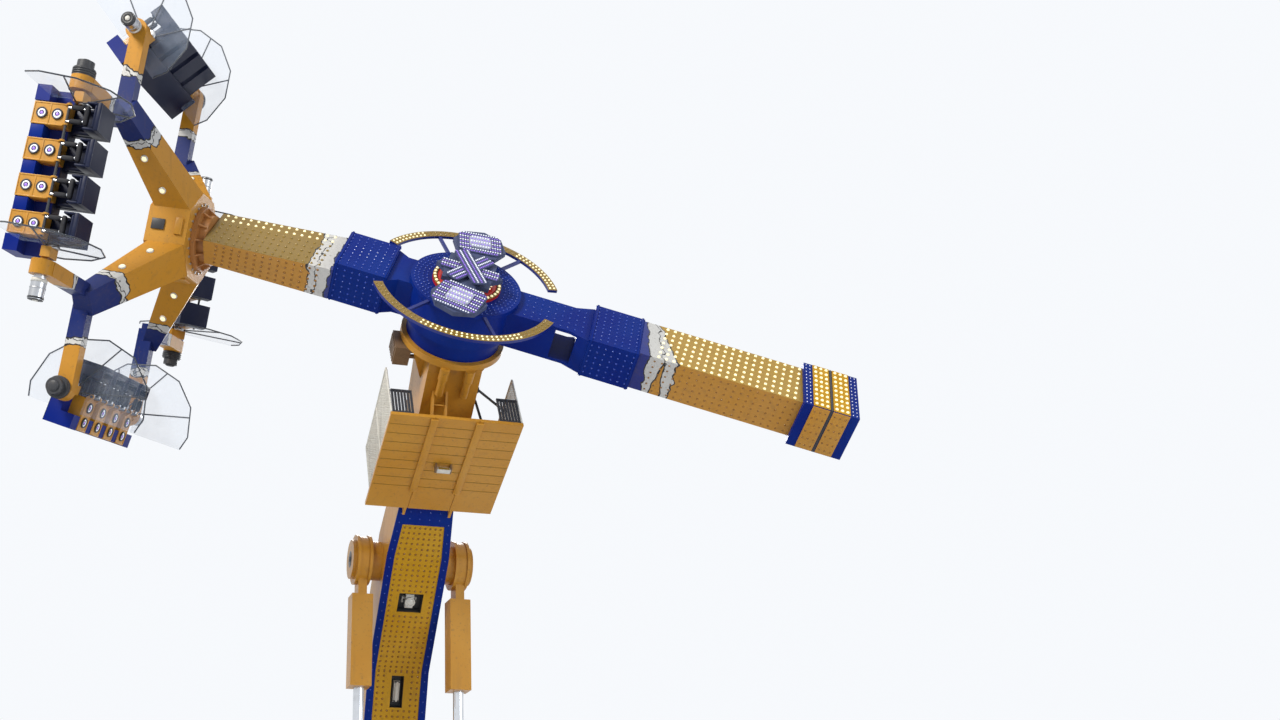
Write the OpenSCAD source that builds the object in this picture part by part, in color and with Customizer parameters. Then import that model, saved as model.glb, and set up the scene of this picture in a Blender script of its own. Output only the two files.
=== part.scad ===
// Counterweighted rotating arm ride with a leaning mast and four tilting gondolas.
// Front of the ride faces -Y, its right side is +X, and the ground is Z = 0.
// The origin lies on the ground, straight below the centre of the hub.

/* [Mast] */
// Height of the mast foot pin above the ground
foot_h = 1200; // [1160:10:1300]
// Length of the lower mast, from the foot pin to the kink
lower_len = 6240; // [6000:10:6600]
// Forward lean of the lower mast, from the vertical
lower_lean = 19; // [15:0.5:22]
// Length of the upper mast, from the kink to abreast of the hub
upper_len = 6900; // [6600:10:7200]
// Forward lean of the upper mast, from the vertical
upper_lean = 41; // [38:0.5:44]
// Width of the mast box
mast_w = 1260; // [1160:10:1360]
// Width of the mast box at its top
mast_top_w = 1090; // [1000:10:1150]
// Depth of the mast box, from its front face to its back
mast_d = 1000; // [900:10:1100]
// Distance of the front face ahead of the trunnion axis
mast_front = 574; // [520:1:620]
// Distance of the trunnion axis above the kink, along the mast
trunnion_at = 2250; // [2000:10:2500]

/* [Hub] */
// Angle of the hub axis above the level
hub_tilt = 30; // [25:0.5:35]
// Distance of the hub centre ahead of the mast line
hub_ahead = 200; // [100:10:300]
// Radius of the yellow slewing flange
flange_r = 1000; // [940:10:1060]
// Thickness of the slewing flange
flange_t = 130; // [100:5:160]
// Radius of the blue hub drum
drum_r = 905; // [850:5:930]
// Distance of the drum's rear face ahead of the hub centre
drum_s = 370; // [330:5:400]

/* [Lift struts] */
// Distance of each strut from the middle of the mast
strut_x = 1000; // [960:10:1050]
// Width of the square strut head
strut_w = 420; // [380:10:440]
// Depth of the square strut head
strut_d = 450; // [400:10:500]
// Length of the square strut head
strut_len = 1800; // [1600:10:2000]
// Diameter of the chrome strut rod
rod_dia = 210; // [180:5:240]
// Length of rod that shows below the strut head
rod_show = 1750; // [1500:10:2000]
// Diameter of the strut barrel
barrel_dia = 330; // [300:5:360]
// Diameter of the trunnion drum
trunnion_dia = 780; // [740:5:820]
// Diameter of the trunnion rims
rim_dia = 1000; // [950:5:1050]

/* [Base] */
// Height of the chassis rails
rail_h = 450; // [380:10:500]
// Width of each chassis rail
rail_w = 300; // [260:10:340]
// Clearance between the ground and the rails
rail_z = 400; // [350:10:450]
// Reach of the chassis ahead of the hub
chassis_front = 4600; // [4200:50:5000]
// Reach of the chassis behind the mast foot
chassis_rear = 1300; // [1100:50:1600]
// Distance of the jacks from the middle line
jack_x = 3700; // [3300:50:4000]
// Width of the jack pads
pad_w = 750; // [600:10:850]

/* [Platform] */
// Width of the service platform
plat_w = 2510; // [2300:10:2700]
// Depth of the service platform
plat_d = 2100; // [1900:10:2250]
// Slope of the platform floor, front edge up
plat_tilt = 24; // [20:0.5:27]
// Height of the platform's front edge below the hub centre
plat_drop = 1640; // [1550:10:1750]
// Distance of the platform's front edge ahead of the hub centre
plat_ahead = 640; // [560:10:720]
// Thickness of the platform floor
floor_t = 70; // [60:5:90]
// Height of the side fences
fence_h = 1240; // [1100:10:1300]

/* [Arm] */
// Direction of the arm in its plane, above the level
arm_angle = 19.5; // [0:0.5:90]
// Height of the arm's underside ahead of the hub centre
arm_s = 720; // [700:5:760]
// Depth of the arm's blue boxes
arm_d = 800; // [740:10:840]
// Width of the arm's blue boxes
blue_w = 1240; // [1180:10:1300]
// Width of the blue spine beside the hub
spine_w = 860; // [800:10:940]
// Distance of the boom joint from the hub axis
boom_x0 = 2400; // [2300:10:2500]
// Width of the boom at its joint
boom_w0 = 1260; // [1200:10:1300]
// Width of the boom at the collar
boom_w1 = 1120; // [1080:10:1180]
// Depth of the boom at its joint
boom_d0 = 640; // [600:10:700]
// Depth of the boom at the collar
boom_d1 = 480; // [440:10:520]
// Distance of the tail joint from the hub axis
tail_x0 = 3400; // [3300:10:3500]
// Distance of the counterweight's near face from the hub axis
weight_x0 = 6440; // [6300:10:6600]
// Length of the counterweight
weight_len = 1020; // [900:10:1150]
// Width of the tail
tail_w = 1130; // [1080:10:1180]
// Width of the counterweight
weight_w = 1350; // [1300:10:1400]
// Depth of the counterweight
weight_d = 960; // [900:10:1000]
// Middle radius of the two lamp arcs
arc_r = 1716; // [1680:2:1760]
// Width of the lamp arcs
arc_w = 180; // [160:5:200]

/* [Spider] */
// Distance of the spider centre from the hub axis
spider_x = 5416; // [5300:4:5500]
// Distance of the spider centre ahead of the hub centre
spider_s = 705; // [680:5:730]
// Backward crank of the spider axis from the arm
crank = 10.9; // [8:0.1:13]
// Angle of the first gondola about the spider axis
spider_angle = 133.2; // [0:0.1:360]
// Width across the flats of the octagonal spider hub
spider_af = 1640; // [1560:10:1700]
// Length of the spider hub along its axis
spider_len = 800; // [740:10:860]
// Radius of the fork points of the four arms
fork_r = 2440; // [2380:10:2500]
// Outward sweep of the fork points
fork_z = 960; // [900:10:1020]
// Radius of the gondola axles
axle_r = 3390; // [3350:5:3430]
// Outward sweep of the gondola axles
axle_z = 1080; // [1040:10:1120]
// Clearance between a gondola beam's end and each prong
prong_clear = 45; // [40:1:60]
// Width of a prong along the axle
prong_w = 250; // [230:5:260]
// Height of a prong across its run
prong_h = 300; // [280:5:330]

/* [Gondolas] */
// Distance between two seats
seat_pitch = 635; // [620:1:645]
// Length of beam beyond the half pitch of the outer seats
beam_end = 180; // [160:5:200]
// Width of a yellow head box
box_w = 380; // [350:5:400]
// Height of the yellow head boxes
box_h = 600; // [560:5:620]
// Depth of the yellow head boxes
box_d = 280; // [250:5:300]
// Diameter of the gondola axle
axle_dia = 120; // [100:5:140]
// Radius of the twelve-sided end shields
shield_r = 1150; // [1080:10:1180]
// Distance of the shields' middle ahead of the axle
shield_ahead = 326; // [280:2:360]
// Height of the shields' straight top edge above the axle
shield_top = 320; // [280:10:360]
// Height of the seat pans below the axle
pan_drop = 560; // [520:10:620]
// Tilt of each gondola about its axle, one value a gondola
tilt_1 = 0; // [-180:1:180]
tilt_2 = -45; // [-180:1:180]
tilt_3 = 52; // [-180:1:180]
tilt_4 = 80; // [-180:1:180]

/* [Hidden] */
$fn = 64;

// Colours of the ride, as painted
yellow = [0.85, 0.62, 0.22];
blue = [0.02, 0.08, 0.5];
gold = [0.72, 0.58, 0.2];
pale = [0.9, 0.88, 0.82];
dark = [0.13, 0.13, 0.15];
steel = [0.6, 0.62, 0.65];
chrome = [0.8, 0.82, 0.85];
red = [0.7, 0.08, 0.06];
seat_blue = [0.05, 0.1, 0.35];
clear = [0.8, 0.88, 0.92, 0.4];

// Side view points of the mast, as [y, z]
up_dir = [-sin(upper_lean), cos(upper_lean)];
up_out = [-cos(upper_lean), -sin(upper_lean)];
low_dir = [-sin(lower_lean), cos(lower_lean)];
low_out = [-cos(lower_lean), -sin(lower_lean)];
foot_y = lower_len * sin(lower_lean) + upper_len * sin(upper_lean) + hub_ahead * cos(upper_lean);
foot_pt = [foot_y, foot_h];
kink_pt = foot_pt + lower_len * low_dir;
trunnion_pt = kink_pt + trunnion_at * up_dir;
hub_pt = kink_pt + upper_len * up_dir + hub_ahead * up_out;
mast_back = mast_d - mast_front;
// The two mast boxes meet on the plane that halves the kink
kink_half = (upper_lean - lower_lean) / 2;
kink_lift = tan(kink_half);
// The mast narrows from just above its trunnions
taper_at = trunnion_at + 420;
function up_pt(t, out) = kink_pt + t * up_dir + out * up_out;
function low_pt(t, out) = kink_pt - t * low_dir + out * low_out;
function kink_edge(out) = up_pt(out * kink_lift, out);

// Side view points about the hub, s ahead of its centre and r up its face
axis_dir = [-cos(hub_tilt), sin(hub_tilt)];
face_dir = [sin(hub_tilt), cos(hub_tilt)];
function hub_side(s, r) = hub_pt + s * axis_dir + r * face_dir;

flange_s = drum_s - flange_t;
// Gap between flat faces that touch
seam = 0.3;
pin_dia = 240;
pin_fit = 0.6;
turn_gap = 0.5;
eye_w = 180;
eye_gap = 2;
rim_t = 60;
strut_top = trunnion_pt[1] - 730;
strut_bottom = strut_top - strut_len;
barrel_top = strut_bottom - rod_show;
rail_top = rail_z + rail_h;
pad_t = 60;
jack_front_y = -chassis_front + 700;
jack_rear_y = foot_y + chassis_rear - 600;
chassis_back_y = foot_y + chassis_rear;
plat_near = hub_pt + [-plat_ahead, -plat_drop];
plat_dir = [cos(plat_tilt), -sin(plat_tilt)];
plat_up = [sin(plat_tilt), cos(plat_tilt)];
function plat_pt(y, z) = plat_near + y * plat_dir + z * plat_up;
neck_half = 780;
neck_step = 30;
neck_back = 2100;
gusset_w = 300;
gusset_h = 700;
gusset_t = 40;
gusset_pitch = 380;
neck_w = mast_top_w - 60;
neck_above = 1900;
neck_t = trunnion_at + neck_above;
neck_foot = up_pt(neck_t + seam, mast_front - neck_step);
neck_top = hub_side(flange_s - seam, -neck_half);
neck_dir = (neck_top - neck_foot) / norm(neck_top - neck_foot);
neck_out = [-neck_dir[1], neck_dir[0]];
// A point up the neck's front face, with k from 0 to 1, and a distance off it
function neck_mid(k, off = 0) = (1 - k) * neck_foot + k * neck_top + off * neck_out;
foot_plate = 80;
foot_plate_x = 300;
foot_plate_r = 350;
decor_t = 40;
panel_t = 25;
// The window in the upper face and the slot in the lower face, each with a lamp unit
window_w = 500;
window_h = 420;
window_at = trunnion_at - 590;
slot_w = 260;
slot_h = 640;
slot_at = -530;
pocket_d = 180;
pocket_edge = 60;
decor_top = trunnion_at + 1500;
decor_bottom = 4300;
border = 150;
border_top = 380;
weight_s = arm_s + arm_d / 2 - weight_d / 2 - 10;
spine_s = 1450;
// The blue boxes at the two ends of the spine, the haunches that join them, and the open bay
tail_box_x = tail_x0 - 950;
boom_box_x = boom_x0 - 1000;
tail_haunch = 350;
boom_haunch = 200;
haunch_step = 40;
bay_len = 400;
bay_wall = 60;
disc_t = 80;
disc_r = 1050;
collar_back = -560;
collar_r = 480;
ring_r = 620;
ring_t = 100;
collar_ribs = 12;
rib_t = 30;
boom_end_s = arm_s - 80;
// Where the plane of the collar's rear face cuts the height s
function boom_end(s) = spider_x + (collar_back + (s - spider_s) * sin(crank)) / cos(crank);
hub_back = -300;
beam_len = 4 * seat_pitch + 2 * beam_end;
half_prong = beam_len / 2 + prong_clear + prong_w / 2;
tilts = [tilt_1, tilt_2, tilt_3, tilt_4];
axle_fit = 0.6;
shaft_fit = 0.6;
box_front = -300;
pivot_y = -350;
pivot_z = -45;
shaft_dia = 50;
axle_end_gap = 1;
seat_back_y = 60;
seat_front_y = -420;
seat_w = 480;
back_t = 120;
pan_t = 80;
rest_t = 30;
pan_z = -pan_drop;
shield_t = 30;
shield_x = beam_len / 2 - 195;
shield_facets = 12;
block_x = shield_x + shield_t / 2;
block_d = 300;
block_h = 170;
shield_up = 40;
notch_gap = 10;
beam_d = 260;
beam_z = 20;
end_box_w = 280;
// Clearance above the pan of a harness pad that is shut
pad_clear = 130;
pad_h = 70;

// Solids drawn from a side view, width across the ride
module across(w) {
    rotate([90, 0, 90]) linear_extrude(w, center = true) children();
}

// Frame of the hub: Z runs forward along the hub axis, Y up its face
module hub_frame() {
    translate([0, hub_pt[0], hub_pt[1]]) rotate([90 - hub_tilt, 0, 0]) children();
}

// Frame of the arm: X runs towards the spider, Z forward along the hub axis
module arm_frame_at() {
    hub_frame() rotate([0, 0, 180 - arm_angle]) children();
}

// Frame of the spider: Z runs outward along its axis, X towards the first gondola
module spider_frame() {
    arm_frame_at() translate([spider_x, 0, spider_s]) rotate([0, 90 + crank, 0])
        rotate([0, 0, spider_angle]) children();
}

// Frame of a gondola: X runs along its axle, Z up and -Y forward
module gondola_frame(i) {
    spider_frame() rotate([0, 0, 90 * i]) translate([axle_r, 0, axle_z]) rotate([0, 0, 90])
        rotate([tilts[i], 0, 0]) children();
}

module mirror_x() {
    children();
    mirror([1, 0, 0]) children();
}

// A box centred on X and Y, standing on Z
module post(x, y, h) {
    translate([-x / 2, -y / 2, 0]) cube([x, y, h]);
}

module chassis() {
    color(yellow) {
        mirror_x() translate([strut_x - rail_w / 2, -chassis_front, rail_z])
            cube([rail_w, chassis_front + chassis_back_y, rail_h]);
        for (y = [jack_front_y, 0, trunnion_pt[0], jack_rear_y])
            translate([0, y, rail_z]) post(2 * strut_x, 420, rail_h);
        translate([0, foot_y, rail_z]) post(2 * strut_x, 720, rail_h);
    }
}

module outriggers() {
    beam_in = strut_x + rail_w / 2;
    color(yellow) for (y = [jack_front_y, jack_rear_y]) mirror_x() {
        translate([beam_in, y - 190, rail_z + 40]) cube([jack_x - beam_in, 380, rail_h - 80]);
        translate([jack_x, y, rail_z]) post(420, 420, rail_h + 250);
    }
}

module jack_feet() {
    color(steel) for (y = [jack_front_y, jack_rear_y]) mirror_x() translate([jack_x, y, 0]) {
        post(pad_w, pad_w, pad_t);
        translate([0, 0, pad_t]) cylinder(d = 180, h = rail_z - pad_t);
    }
    color(steel) for (y = [0, foot_y]) translate([0, y, 0]) {
        post(pad_w, pad_w, pad_t);
        translate([0, 0, pad_t]) post(300, 300, rail_z - pad_t);
    }
}

module mast_foot() {
    color(yellow) {
        mirror_x() translate([foot_plate_x, foot_y, 0]) rotate([90, 0, 90])
            linear_extrude(foot_plate) difference() {
                union() {
                    translate([-foot_plate_r, rail_top]) square([2 * foot_plate_r, foot_h - rail_top]);
                    translate([0, foot_h]) circle(r = foot_plate_r);
                }
                translate([-2 * foot_plate_r, 0]) square([4 * foot_plate_r, rail_top]);
            }
        translate([0, foot_y, foot_h]) rotate([0, 90, 0])
            cylinder(d = pin_dia, h = 2 * foot_plate_x + 3 * foot_plate, center = true);
    }
}

module mast_lower() {
    lug_r = 300;
    color(yellow) difference() {
        union() {
            across(mast_w) polygon([
                kink_edge(mast_front), low_pt(lower_len - 700, mast_front),
                low_pt(lower_len - 450, 350), low_pt(lower_len - 450, -250),
                low_pt(lower_len - 700, -mast_back), kink_edge(-mast_back)
            ]);
            across(2 * foot_plate_x - 20) {
                translate(foot_pt) circle(r = lug_r);
                polygon([
                    low_pt(lower_len - 460, 300), low_pt(lower_len, lug_r),
                    low_pt(lower_len, -lug_r), low_pt(lower_len - 460, -250)
                ]);
            }
        }
        translate([0, foot_y, foot_h]) rotate([0, 90, 0])
            cylinder(d = pin_dia + pin_fit, h = 2 * foot_plate_x + 100, center = true);
        lamp_pocket_low(pocket_edge);
    }
}

// Frame of the mast's front face: X across, Y up the face, Z forward out of it
module upper_face() {
    translate([0, up_pt(0, mast_front)[0], up_pt(0, mast_front)[1]])
        rotate([90 + upper_lean, 0, 0]) children();
}
module lower_face() {
    translate([0, low_pt(0, mast_front)[0], low_pt(0, mast_front)[1]])
        rotate([90 + lower_lean, 0, 0]) children();
}

module lamp_pocket_up(grow) {
    upper_face() translate([-window_w / 2 - grow, window_at - window_h / 2 - grow, -pocket_d])
        cube([window_w + 2 * grow, window_h + 2 * grow, 2 * pocket_d]);
}
module lamp_pocket_low(grow) {
    lower_face() translate([-slot_w / 2 - grow, slot_at - slot_h / 2 - grow, -pocket_d])
        cube([slot_w + 2 * grow, slot_h + 2 * grow, 2 * pocket_d]);
}

module mast_upper() {
    color(yellow) difference() {
        intersection() {
            across(mast_w) polygon([
                kink_edge(mast_front), up_pt(neck_t, mast_front),
                up_pt(neck_t, -mast_back), kink_edge(-mast_back)
            ]);
            upper_face() translate([0, 0, -2 * mast_d]) linear_extrude(3 * mast_d) polygon([
                [-mast_w, -2 * mast_w], [-mast_w, taper_at], [-mast_w / 2, taper_at],
                [-mast_top_w / 2, decor_top], [-mast_top_w / 2, neck_t + 100],
                [mast_top_w / 2, neck_t + 100], [mast_top_w / 2, decor_top],
                [mast_w / 2, taper_at], [mast_w, taper_at], [mast_w, -2 * mast_w]
            ]);
        }
        lamp_pocket_up(pocket_edge);
    }
}

module mast_neck() {
    color(yellow) {
        across(neck_w) polygon([
            neck_foot, neck_top, hub_side(flange_s - seam, neck_half),
            up_pt(neck_t + neck_back, -mast_back), up_pt(neck_t + seam, -mast_back)
        ]);
        mirror_x() for (r = [-gusset_pitch, 0, gusset_pitch]) hub_frame()
            translate([neck_w / 2, r, flange_s - 5]) rotate([90, 0, 0])
                linear_extrude(gusset_t, center = true)
                    polygon([[-30, 0], [gusset_w, 0], [0, -gusset_h], [-30, -gusset_h]]);
    }
}

module trunnions() {
    color(yellow) mirror_x() translate([0, trunnion_pt[0], trunnion_pt[1]]) rotate([0, 90, 0]) {
        translate([0, 0, mast_w / 2]) cylinder(d = trunnion_dia, h = strut_x + 230 - mast_w / 2);
        for (x = [strut_x - eye_w / 2 - rim_t, strut_x + eye_w / 2])
            translate([0, 0, x]) cylinder(d = rim_dia, h = rim_t);
    }
}

module strut_head() {
    translate([strut_x, trunnion_pt[0], trunnion_pt[1]]) rotate([90, 0, 90])
        linear_extrude(eye_w - 2 * eye_gap, center = true) difference() {
            union() {
                circle(d = rim_dia - 60);
                translate([-200, strut_top - trunnion_pt[1]]) square([400, trunnion_pt[1] - strut_top]);
            }
            circle(d = trunnion_dia + 2 * eye_gap);
        }
    translate([strut_x, trunnion_pt[0], strut_bottom]) post(strut_w, strut_d, strut_len);
}

module strut_heads() {
    color(yellow) mirror_x() strut_head();
}

module strut_rods() {
    color(chrome) mirror_x() translate([strut_x, trunnion_pt[0], barrel_top])
        cylinder(d = rod_dia, h = rod_show);
}

module strut_barrels() {
    color(yellow) mirror_x() translate([strut_x, trunnion_pt[0], 0]) {
        translate([0, 0, barrel_top - 160]) cylinder(d = barrel_dia + 80, h = 160);
        translate([0, 0, rail_top + 350]) cylinder(d = barrel_dia, h = barrel_top - rail_top - 500);
        translate([0, 0, rail_top]) post(rail_w, 420, 60);
        translate([0, 0, rail_top]) post(140, 360, 400);
    }
}

// A sheet on the front of both mast boxes, bent at the kink, from one height off the face to another
module front_sheet(inset, top_gap, bottom_gap, low, high) {
    near = mast_front + low;
    far = mast_front + high;
    top = decor_top - top_gap;
    bottom = decor_bottom - bottom_gap;
    difference() {
        across(mast_w - 2 * inset) polygon([
            kink_edge(near), up_pt(top, near), up_pt(top, far),
            kink_edge(far), low_pt(bottom, far), low_pt(bottom, near)
        ]);
        mirror_x() upper_face() translate([-inset, 0, low - 10]) linear_extrude(high - low + 20) polygon([
            [mast_w / 2, taper_at], [mast_w, taper_at], [mast_w, decor_top + 100],
            [mast_top_w / 2, decor_top + 100], [mast_top_w / 2, decor_top]
        ]);
    }
}

module decor_border() {
    color(blue) difference() {
        front_sheet(0, 0, 0, seam, decor_t);
        front_sheet(border, border_top, border, -10, decor_t + 10);
    }
}

module lamp_panel() {
    color(gold) difference() {
        front_sheet(border + seam, border_top + seam, border + seam, seam, panel_t);
        lamp_pocket_up(0);
        lamp_pocket_low(0);
    }
}

module lamp_units() {
    color(pale) {
        upper_face() translate([0, window_at, -pocket_d]) {
            post(160, 300, 120);
            post(300, 120, 60);
        }
        lower_face() translate([0, slot_at, -pocket_d]) post(120, 420, 150);
    }
}

// Frame of the platform: X across, Y back along the floor, Z up off it
module plat_frame() {
    translate([0, plat_near[0], plat_near[1]]) rotate([-plat_tilt, 0, 0]) children();
}

// Everything behind the front faces of the mast and its neck
module behind_face() {
    across(2 * plat_w) polygon([
        up_pt(0, mast_front + seam), up_pt(neck_t + seam, mast_front + seam),
        neck_mid(0, seam), neck_mid(1, seam), up_pt(2 * neck_t, -3 * mast_d), up_pt(0, -3 * mast_d)
    ]);
}

module platform_floor() {
    groove = 14;
    rib_x = mast_top_w / 2 - 110;
    color(yellow) difference() {
        union() {
            plat_frame() translate([-plat_w / 2, 0, -floor_t]) cube([plat_w, plat_d + 400, floor_t]);
            mirror_x() translate([rib_x, 0, 0]) rotate([90, 0, 90]) linear_extrude(50) polygon([
                plat_pt(plat_d - 500, -floor_t), plat_pt(plat_d + 600, -floor_t),
                up_pt(decor_top + 100, mast_front)
            ]);
        }
        plat_frame() for (x = [-plat_w / 6, plat_w / 6])
            translate([x - groove / 2, -10, -floor_t - 1]) cube([groove, plat_d + 600, 16]);
        behind_face();
    }
}

// One side fence: a mesh panel in a tube frame, with its peak near the front
module side_fence() {
    translate([plat_w / 2 - 40, 0, 0]) rotate([90, 0, 90]) {
        linear_extrude(40) difference() {
            polygon([[0, 0], [60, fence_h], [plat_d, fence_h - 160], [plat_d, 0]]);
            offset(delta = -45) polygon([[0, 0], [60, fence_h], [plat_d, fence_h - 160], [plat_d, 0]]);
        }
        translate([0, 0, 14]) linear_extrude(12) offset(delta = -44)
            polygon([[0, 0], [60, fence_h], [plat_d, fence_h - 160], [plat_d, 0]]);
    }
}

module side_fences() {
    color(pale) mirror_x() plat_frame() side_fence();
}

module front_fences() {
    color(dark) mirror_x() plat_frame() translate([plat_w / 2 - 440, 0, 0]) {
        for (z = [0, 560]) translate([0, 0, z]) cube([400, 40, 40]);
        for (k = [0:6]) translate([k * 59, 5, 0]) cube([41, 30, 600]);
    }
}

// A round-topped box stands on the floor before the neck
module valve_box() {
    color([0.5, 0.42, 0.34]) plat_frame() translate([160, 900, 0]) rotate([90, 0, 0])
        linear_extrude(260) {
            translate([-190, 0]) square([380, 150]);
            intersection() {
                translate([0, 150]) scale([1, 0.5]) circle(r = 190);
                translate([-190, 140]) square([380, 200]);
            }
        }
}

// A round tube between two points
module tube(a, b, d) {
    v = b - a;
    translate(a) rotate([0, acos(v[2] / norm(v)), atan2(v[1], v[0])]) cylinder(d = d, h = norm(v));
}

// Two dark tubes run from the neck's side to the right fence and to the floor
module stay_tubes() {
    tube_d = 50;
    shoe = 40;
    side = neck_w / 2;
    high = [side + shoe, neck_mid(0.8)[0] + 60, neck_mid(0.8)[1] + 60];
    low = [side + shoe, neck_mid(0.8)[0] + 300, neck_mid(0.8)[1] - 60];
    fence_at = plat_pt(600, 900);
    floor_at = plat_pt(700, shoe);
    color(dark) {
        tube(high, [plat_w / 2 - 40 - shoe, fence_at[0], fence_at[1]], tube_d);
        tube(low, [side + 260, floor_at[0], floor_at[1]], tube_d);
        for (p = [high, low]) translate([side, p[1] - 45, p[2] - 45]) cube([shoe, 90, 90]);
        translate([plat_w / 2 - 40 - shoe, fence_at[0] - 45, fence_at[1] - 45]) cube([shoe, 90, 90]);
        plat_frame() translate([side + 260, 700, 0]) post(90, 90, shoe);
    }
}

module slew_flange() {
    bolts = 24;
    color(yellow) hub_frame() translate([0, 0, flange_s]) {
        cylinder(r = flange_r, h = flange_t, $fn = 96);
        for (k = [0:bolts - 1]) rotate([0, 0, (k + 0.5) * 360 / bolts])
            translate([flange_r - 60, 0, -24]) cylinder(d = 44, h = 24, $fn = 6);
    }
}

module hub_motors() {
    color(dark) hub_frame() for (x = [-240, 240]) translate([x, -neck_half - 180, flange_s]) {
        translate([0, 0, -260]) cylinder(d = 190, h = 260);
        translate([0, 0, -620]) cylinder(d = 150, h = 360);
    }
}

module louvre_box() {
    case = [300, 560, 394];
    arm_len = gusset_w + 5;
    color([0.42, 0.28, 0.16]) hub_frame()
        translate([-neck_w / 2 - arm_len - case[0], -case[1] * 3 / 4, flange_s - case[2] - 26]) {
            cube(case);
            for (k = [0:5]) translate([-18, 50 + k * 85, 30]) cube([18, 40, case[2] - 60]);
            for (y = [80, 250]) translate([case[0], y, 120]) cube([arm_len, 60, 60]);
        }
}

// A pale ladder leans from the floor to the neck
module service_ladder() {
    rail = 45;
    ladder_w = 260;
    foot = plat_pt(800, seam);
    foot_mid = foot + 30 * plat_dir;
    head = neck_mid(0.75, seam);
    color(pale) translate([-330, 0, 0]) {
        for (x = [0, ladder_w]) translate([x, 0, 0]) across(rail)
            polygon([foot, foot + 60 * plat_dir, neck_mid(0.72, seam), neck_mid(0.78, seam)]);
        for (k = [0.2:0.2:0.8]) translate([ladder_w / 2, 0, 0]) across(ladder_w)
            translate((1 - k) * foot_mid + k * head) square(24, center = true);
    }
}

module hub_drum() {
    color(blue) arm_frame_at() translate([0, 0, drum_s + turn_gap])
        cylinder(r = drum_r, h = arm_s - drum_s - turn_gap, $fn = 96);
}

// The spine widens from one distance to another where it meets a box
module haunch(narrow_x, wide_x) {
    wide = blue_w / 2 - haunch_step;
    linear_extrude(spine_s - arm_s) polygon([
        [narrow_x, -spine_w / 2], [wide_x, -wide], [wide_x, wide], [narrow_x, spine_w / 2]
    ]);
}

module arm_frame() {
    sink = 10;
    color(blue) arm_frame_at() translate([0, 0, arm_s]) difference() {
        union() {
            translate([boom_box_x, -blue_w / 2, 0]) cube([boom_x0 - boom_box_x, blue_w, arm_d]);
            translate([-tail_x0, -blue_w / 2, 0]) cube([tail_x0 - tail_box_x, blue_w, arm_d]);
            translate([-tail_box_x - sink, -spine_w / 2, 0])
                cube([tail_box_x + boom_box_x + 2 * sink, spine_w, spine_s - arm_s]);
            haunch(-tail_box_x + tail_haunch, -tail_box_x - sink);
            haunch(boom_box_x - boom_haunch, boom_box_x + sink);
            cylinder(r = disc_r - 50, h = spine_s - arm_s, $fn = 96);
        }
        translate([-tail_box_x + tail_haunch - bay_len / 3, -blue_w, bay_wall])
            cube([bay_len, 2 * blue_w, spine_s - arm_s - 2 * bay_wall]);
    }
}

module front_disc() {
    color(blue) arm_frame_at() translate([0, 0, spine_s]) cylinder(r = disc_r, h = disc_t, $fn = 96);
}

module centre_boss() {
    color(red) arm_frame_at() translate([0, 0, spine_s + disc_t]) {
        cylinder(r = 650, h = 60, $fn = 96);
        cylinder(r = 180, h = 200);
    }
}

module centre_sign() {
    color(steel) arm_frame_at() translate([0, 0, spine_s + disc_t + 200]) {
        linear_extrude(90) union() {
            for (k = [0:3]) rotate(k * 45) square([900, 900], center = true);
            for (m = [-1, 1]) translate([0, m * 1000]) circle(r = 520, $fn = 8);
            square([420, 2200], center = true);
        }
    }
}

// Plan of one lamp arc, between two angles about the hub
module arc_plan(a0, a1) {
    rotate(a0) rotate_extrude(angle = a1 - a0, $fn = 128)
        translate([arc_r - arc_w / 2, 0]) square([arc_w, 60]);
}

module lamp_arc(a0, a1, arms) {
    arc_plan(a0, a1);
    for (a = arms) rotate(a) difference() {
        translate([1000, -30, 0]) cube([arc_r - arc_w / 2 - 990, 60, 50]);
        translate([0, 0, -1]) cylinder(r = disc_r, h = 100, $fn = 96);
    }
}

module lamp_arcs() {
    color(gold) arm_frame_at() translate([0, 0, spine_s + 20]) {
        lamp_arc(-157, -23, [-120, -60]);
        lamp_arc(28, 166, [60, 120]);
    }
}

// The boom tapers in plan and in depth towards the collar
module boom() {
    color(yellow) arm_frame_at() intersection() {
        linear_extrude(4 * arm_d) polygon([
            [boom_x0, -boom_w0 / 2], [boom_end(0) + 200, -boom_w1 / 2],
            [boom_end(0) + 200, boom_w1 / 2], [boom_x0, boom_w0 / 2]
        ]);
        rotate([90, 0, 0]) linear_extrude(2 * boom_w0, center = true) polygon([
            [boom_x0, arm_s], [boom_x0, arm_s + boom_d0],
            [boom_end(boom_end_s + boom_d1), boom_end_s + boom_d1], [boom_end(boom_end_s), boom_end_s]
        ]);
    }
}

module tail() {
    color(yellow) arm_frame_at() translate([-weight_x0, -tail_w / 2, arm_s + 20])
        cube([weight_x0 - tail_x0, tail_w, arm_d - 20]);
}

module counterweight() {
    band = 60;
    color(blue) arm_frame_at() translate([-weight_x0 - weight_len, -weight_w / 2, weight_s])
        difference() {
            cube([weight_len, weight_w, weight_d]);
            translate([weight_len / 2 - band / 2, -1, weight_d - 12]) cube([band, weight_w + 2, 20]);
        }
}

// The collar is square to the spider axis and meets the slanted boom end
module collar() {
    color(yellow) spider_frame() {
        translate([0, 0, hub_back - ring_t]) cylinder(r = ring_r, h = ring_t, $fn = 96);
        translate([0, 0, collar_back + seam])
            cylinder(r = collar_r, h = hub_back - ring_t - collar_back - seam, $fn = 96);
        for (k = [0:collar_ribs - 1]) rotate([90, 0, (k + 0.5) * 360 / collar_ribs])
            linear_extrude(rib_t, center = true) polygon([
                [collar_r - 20, collar_back + 20], [collar_r + 20, collar_back + 20],
                [ring_r - 20, hub_back - ring_t + 5], [collar_r - 20, hub_back - ring_t + 5]
            ]);
    }
}

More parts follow.
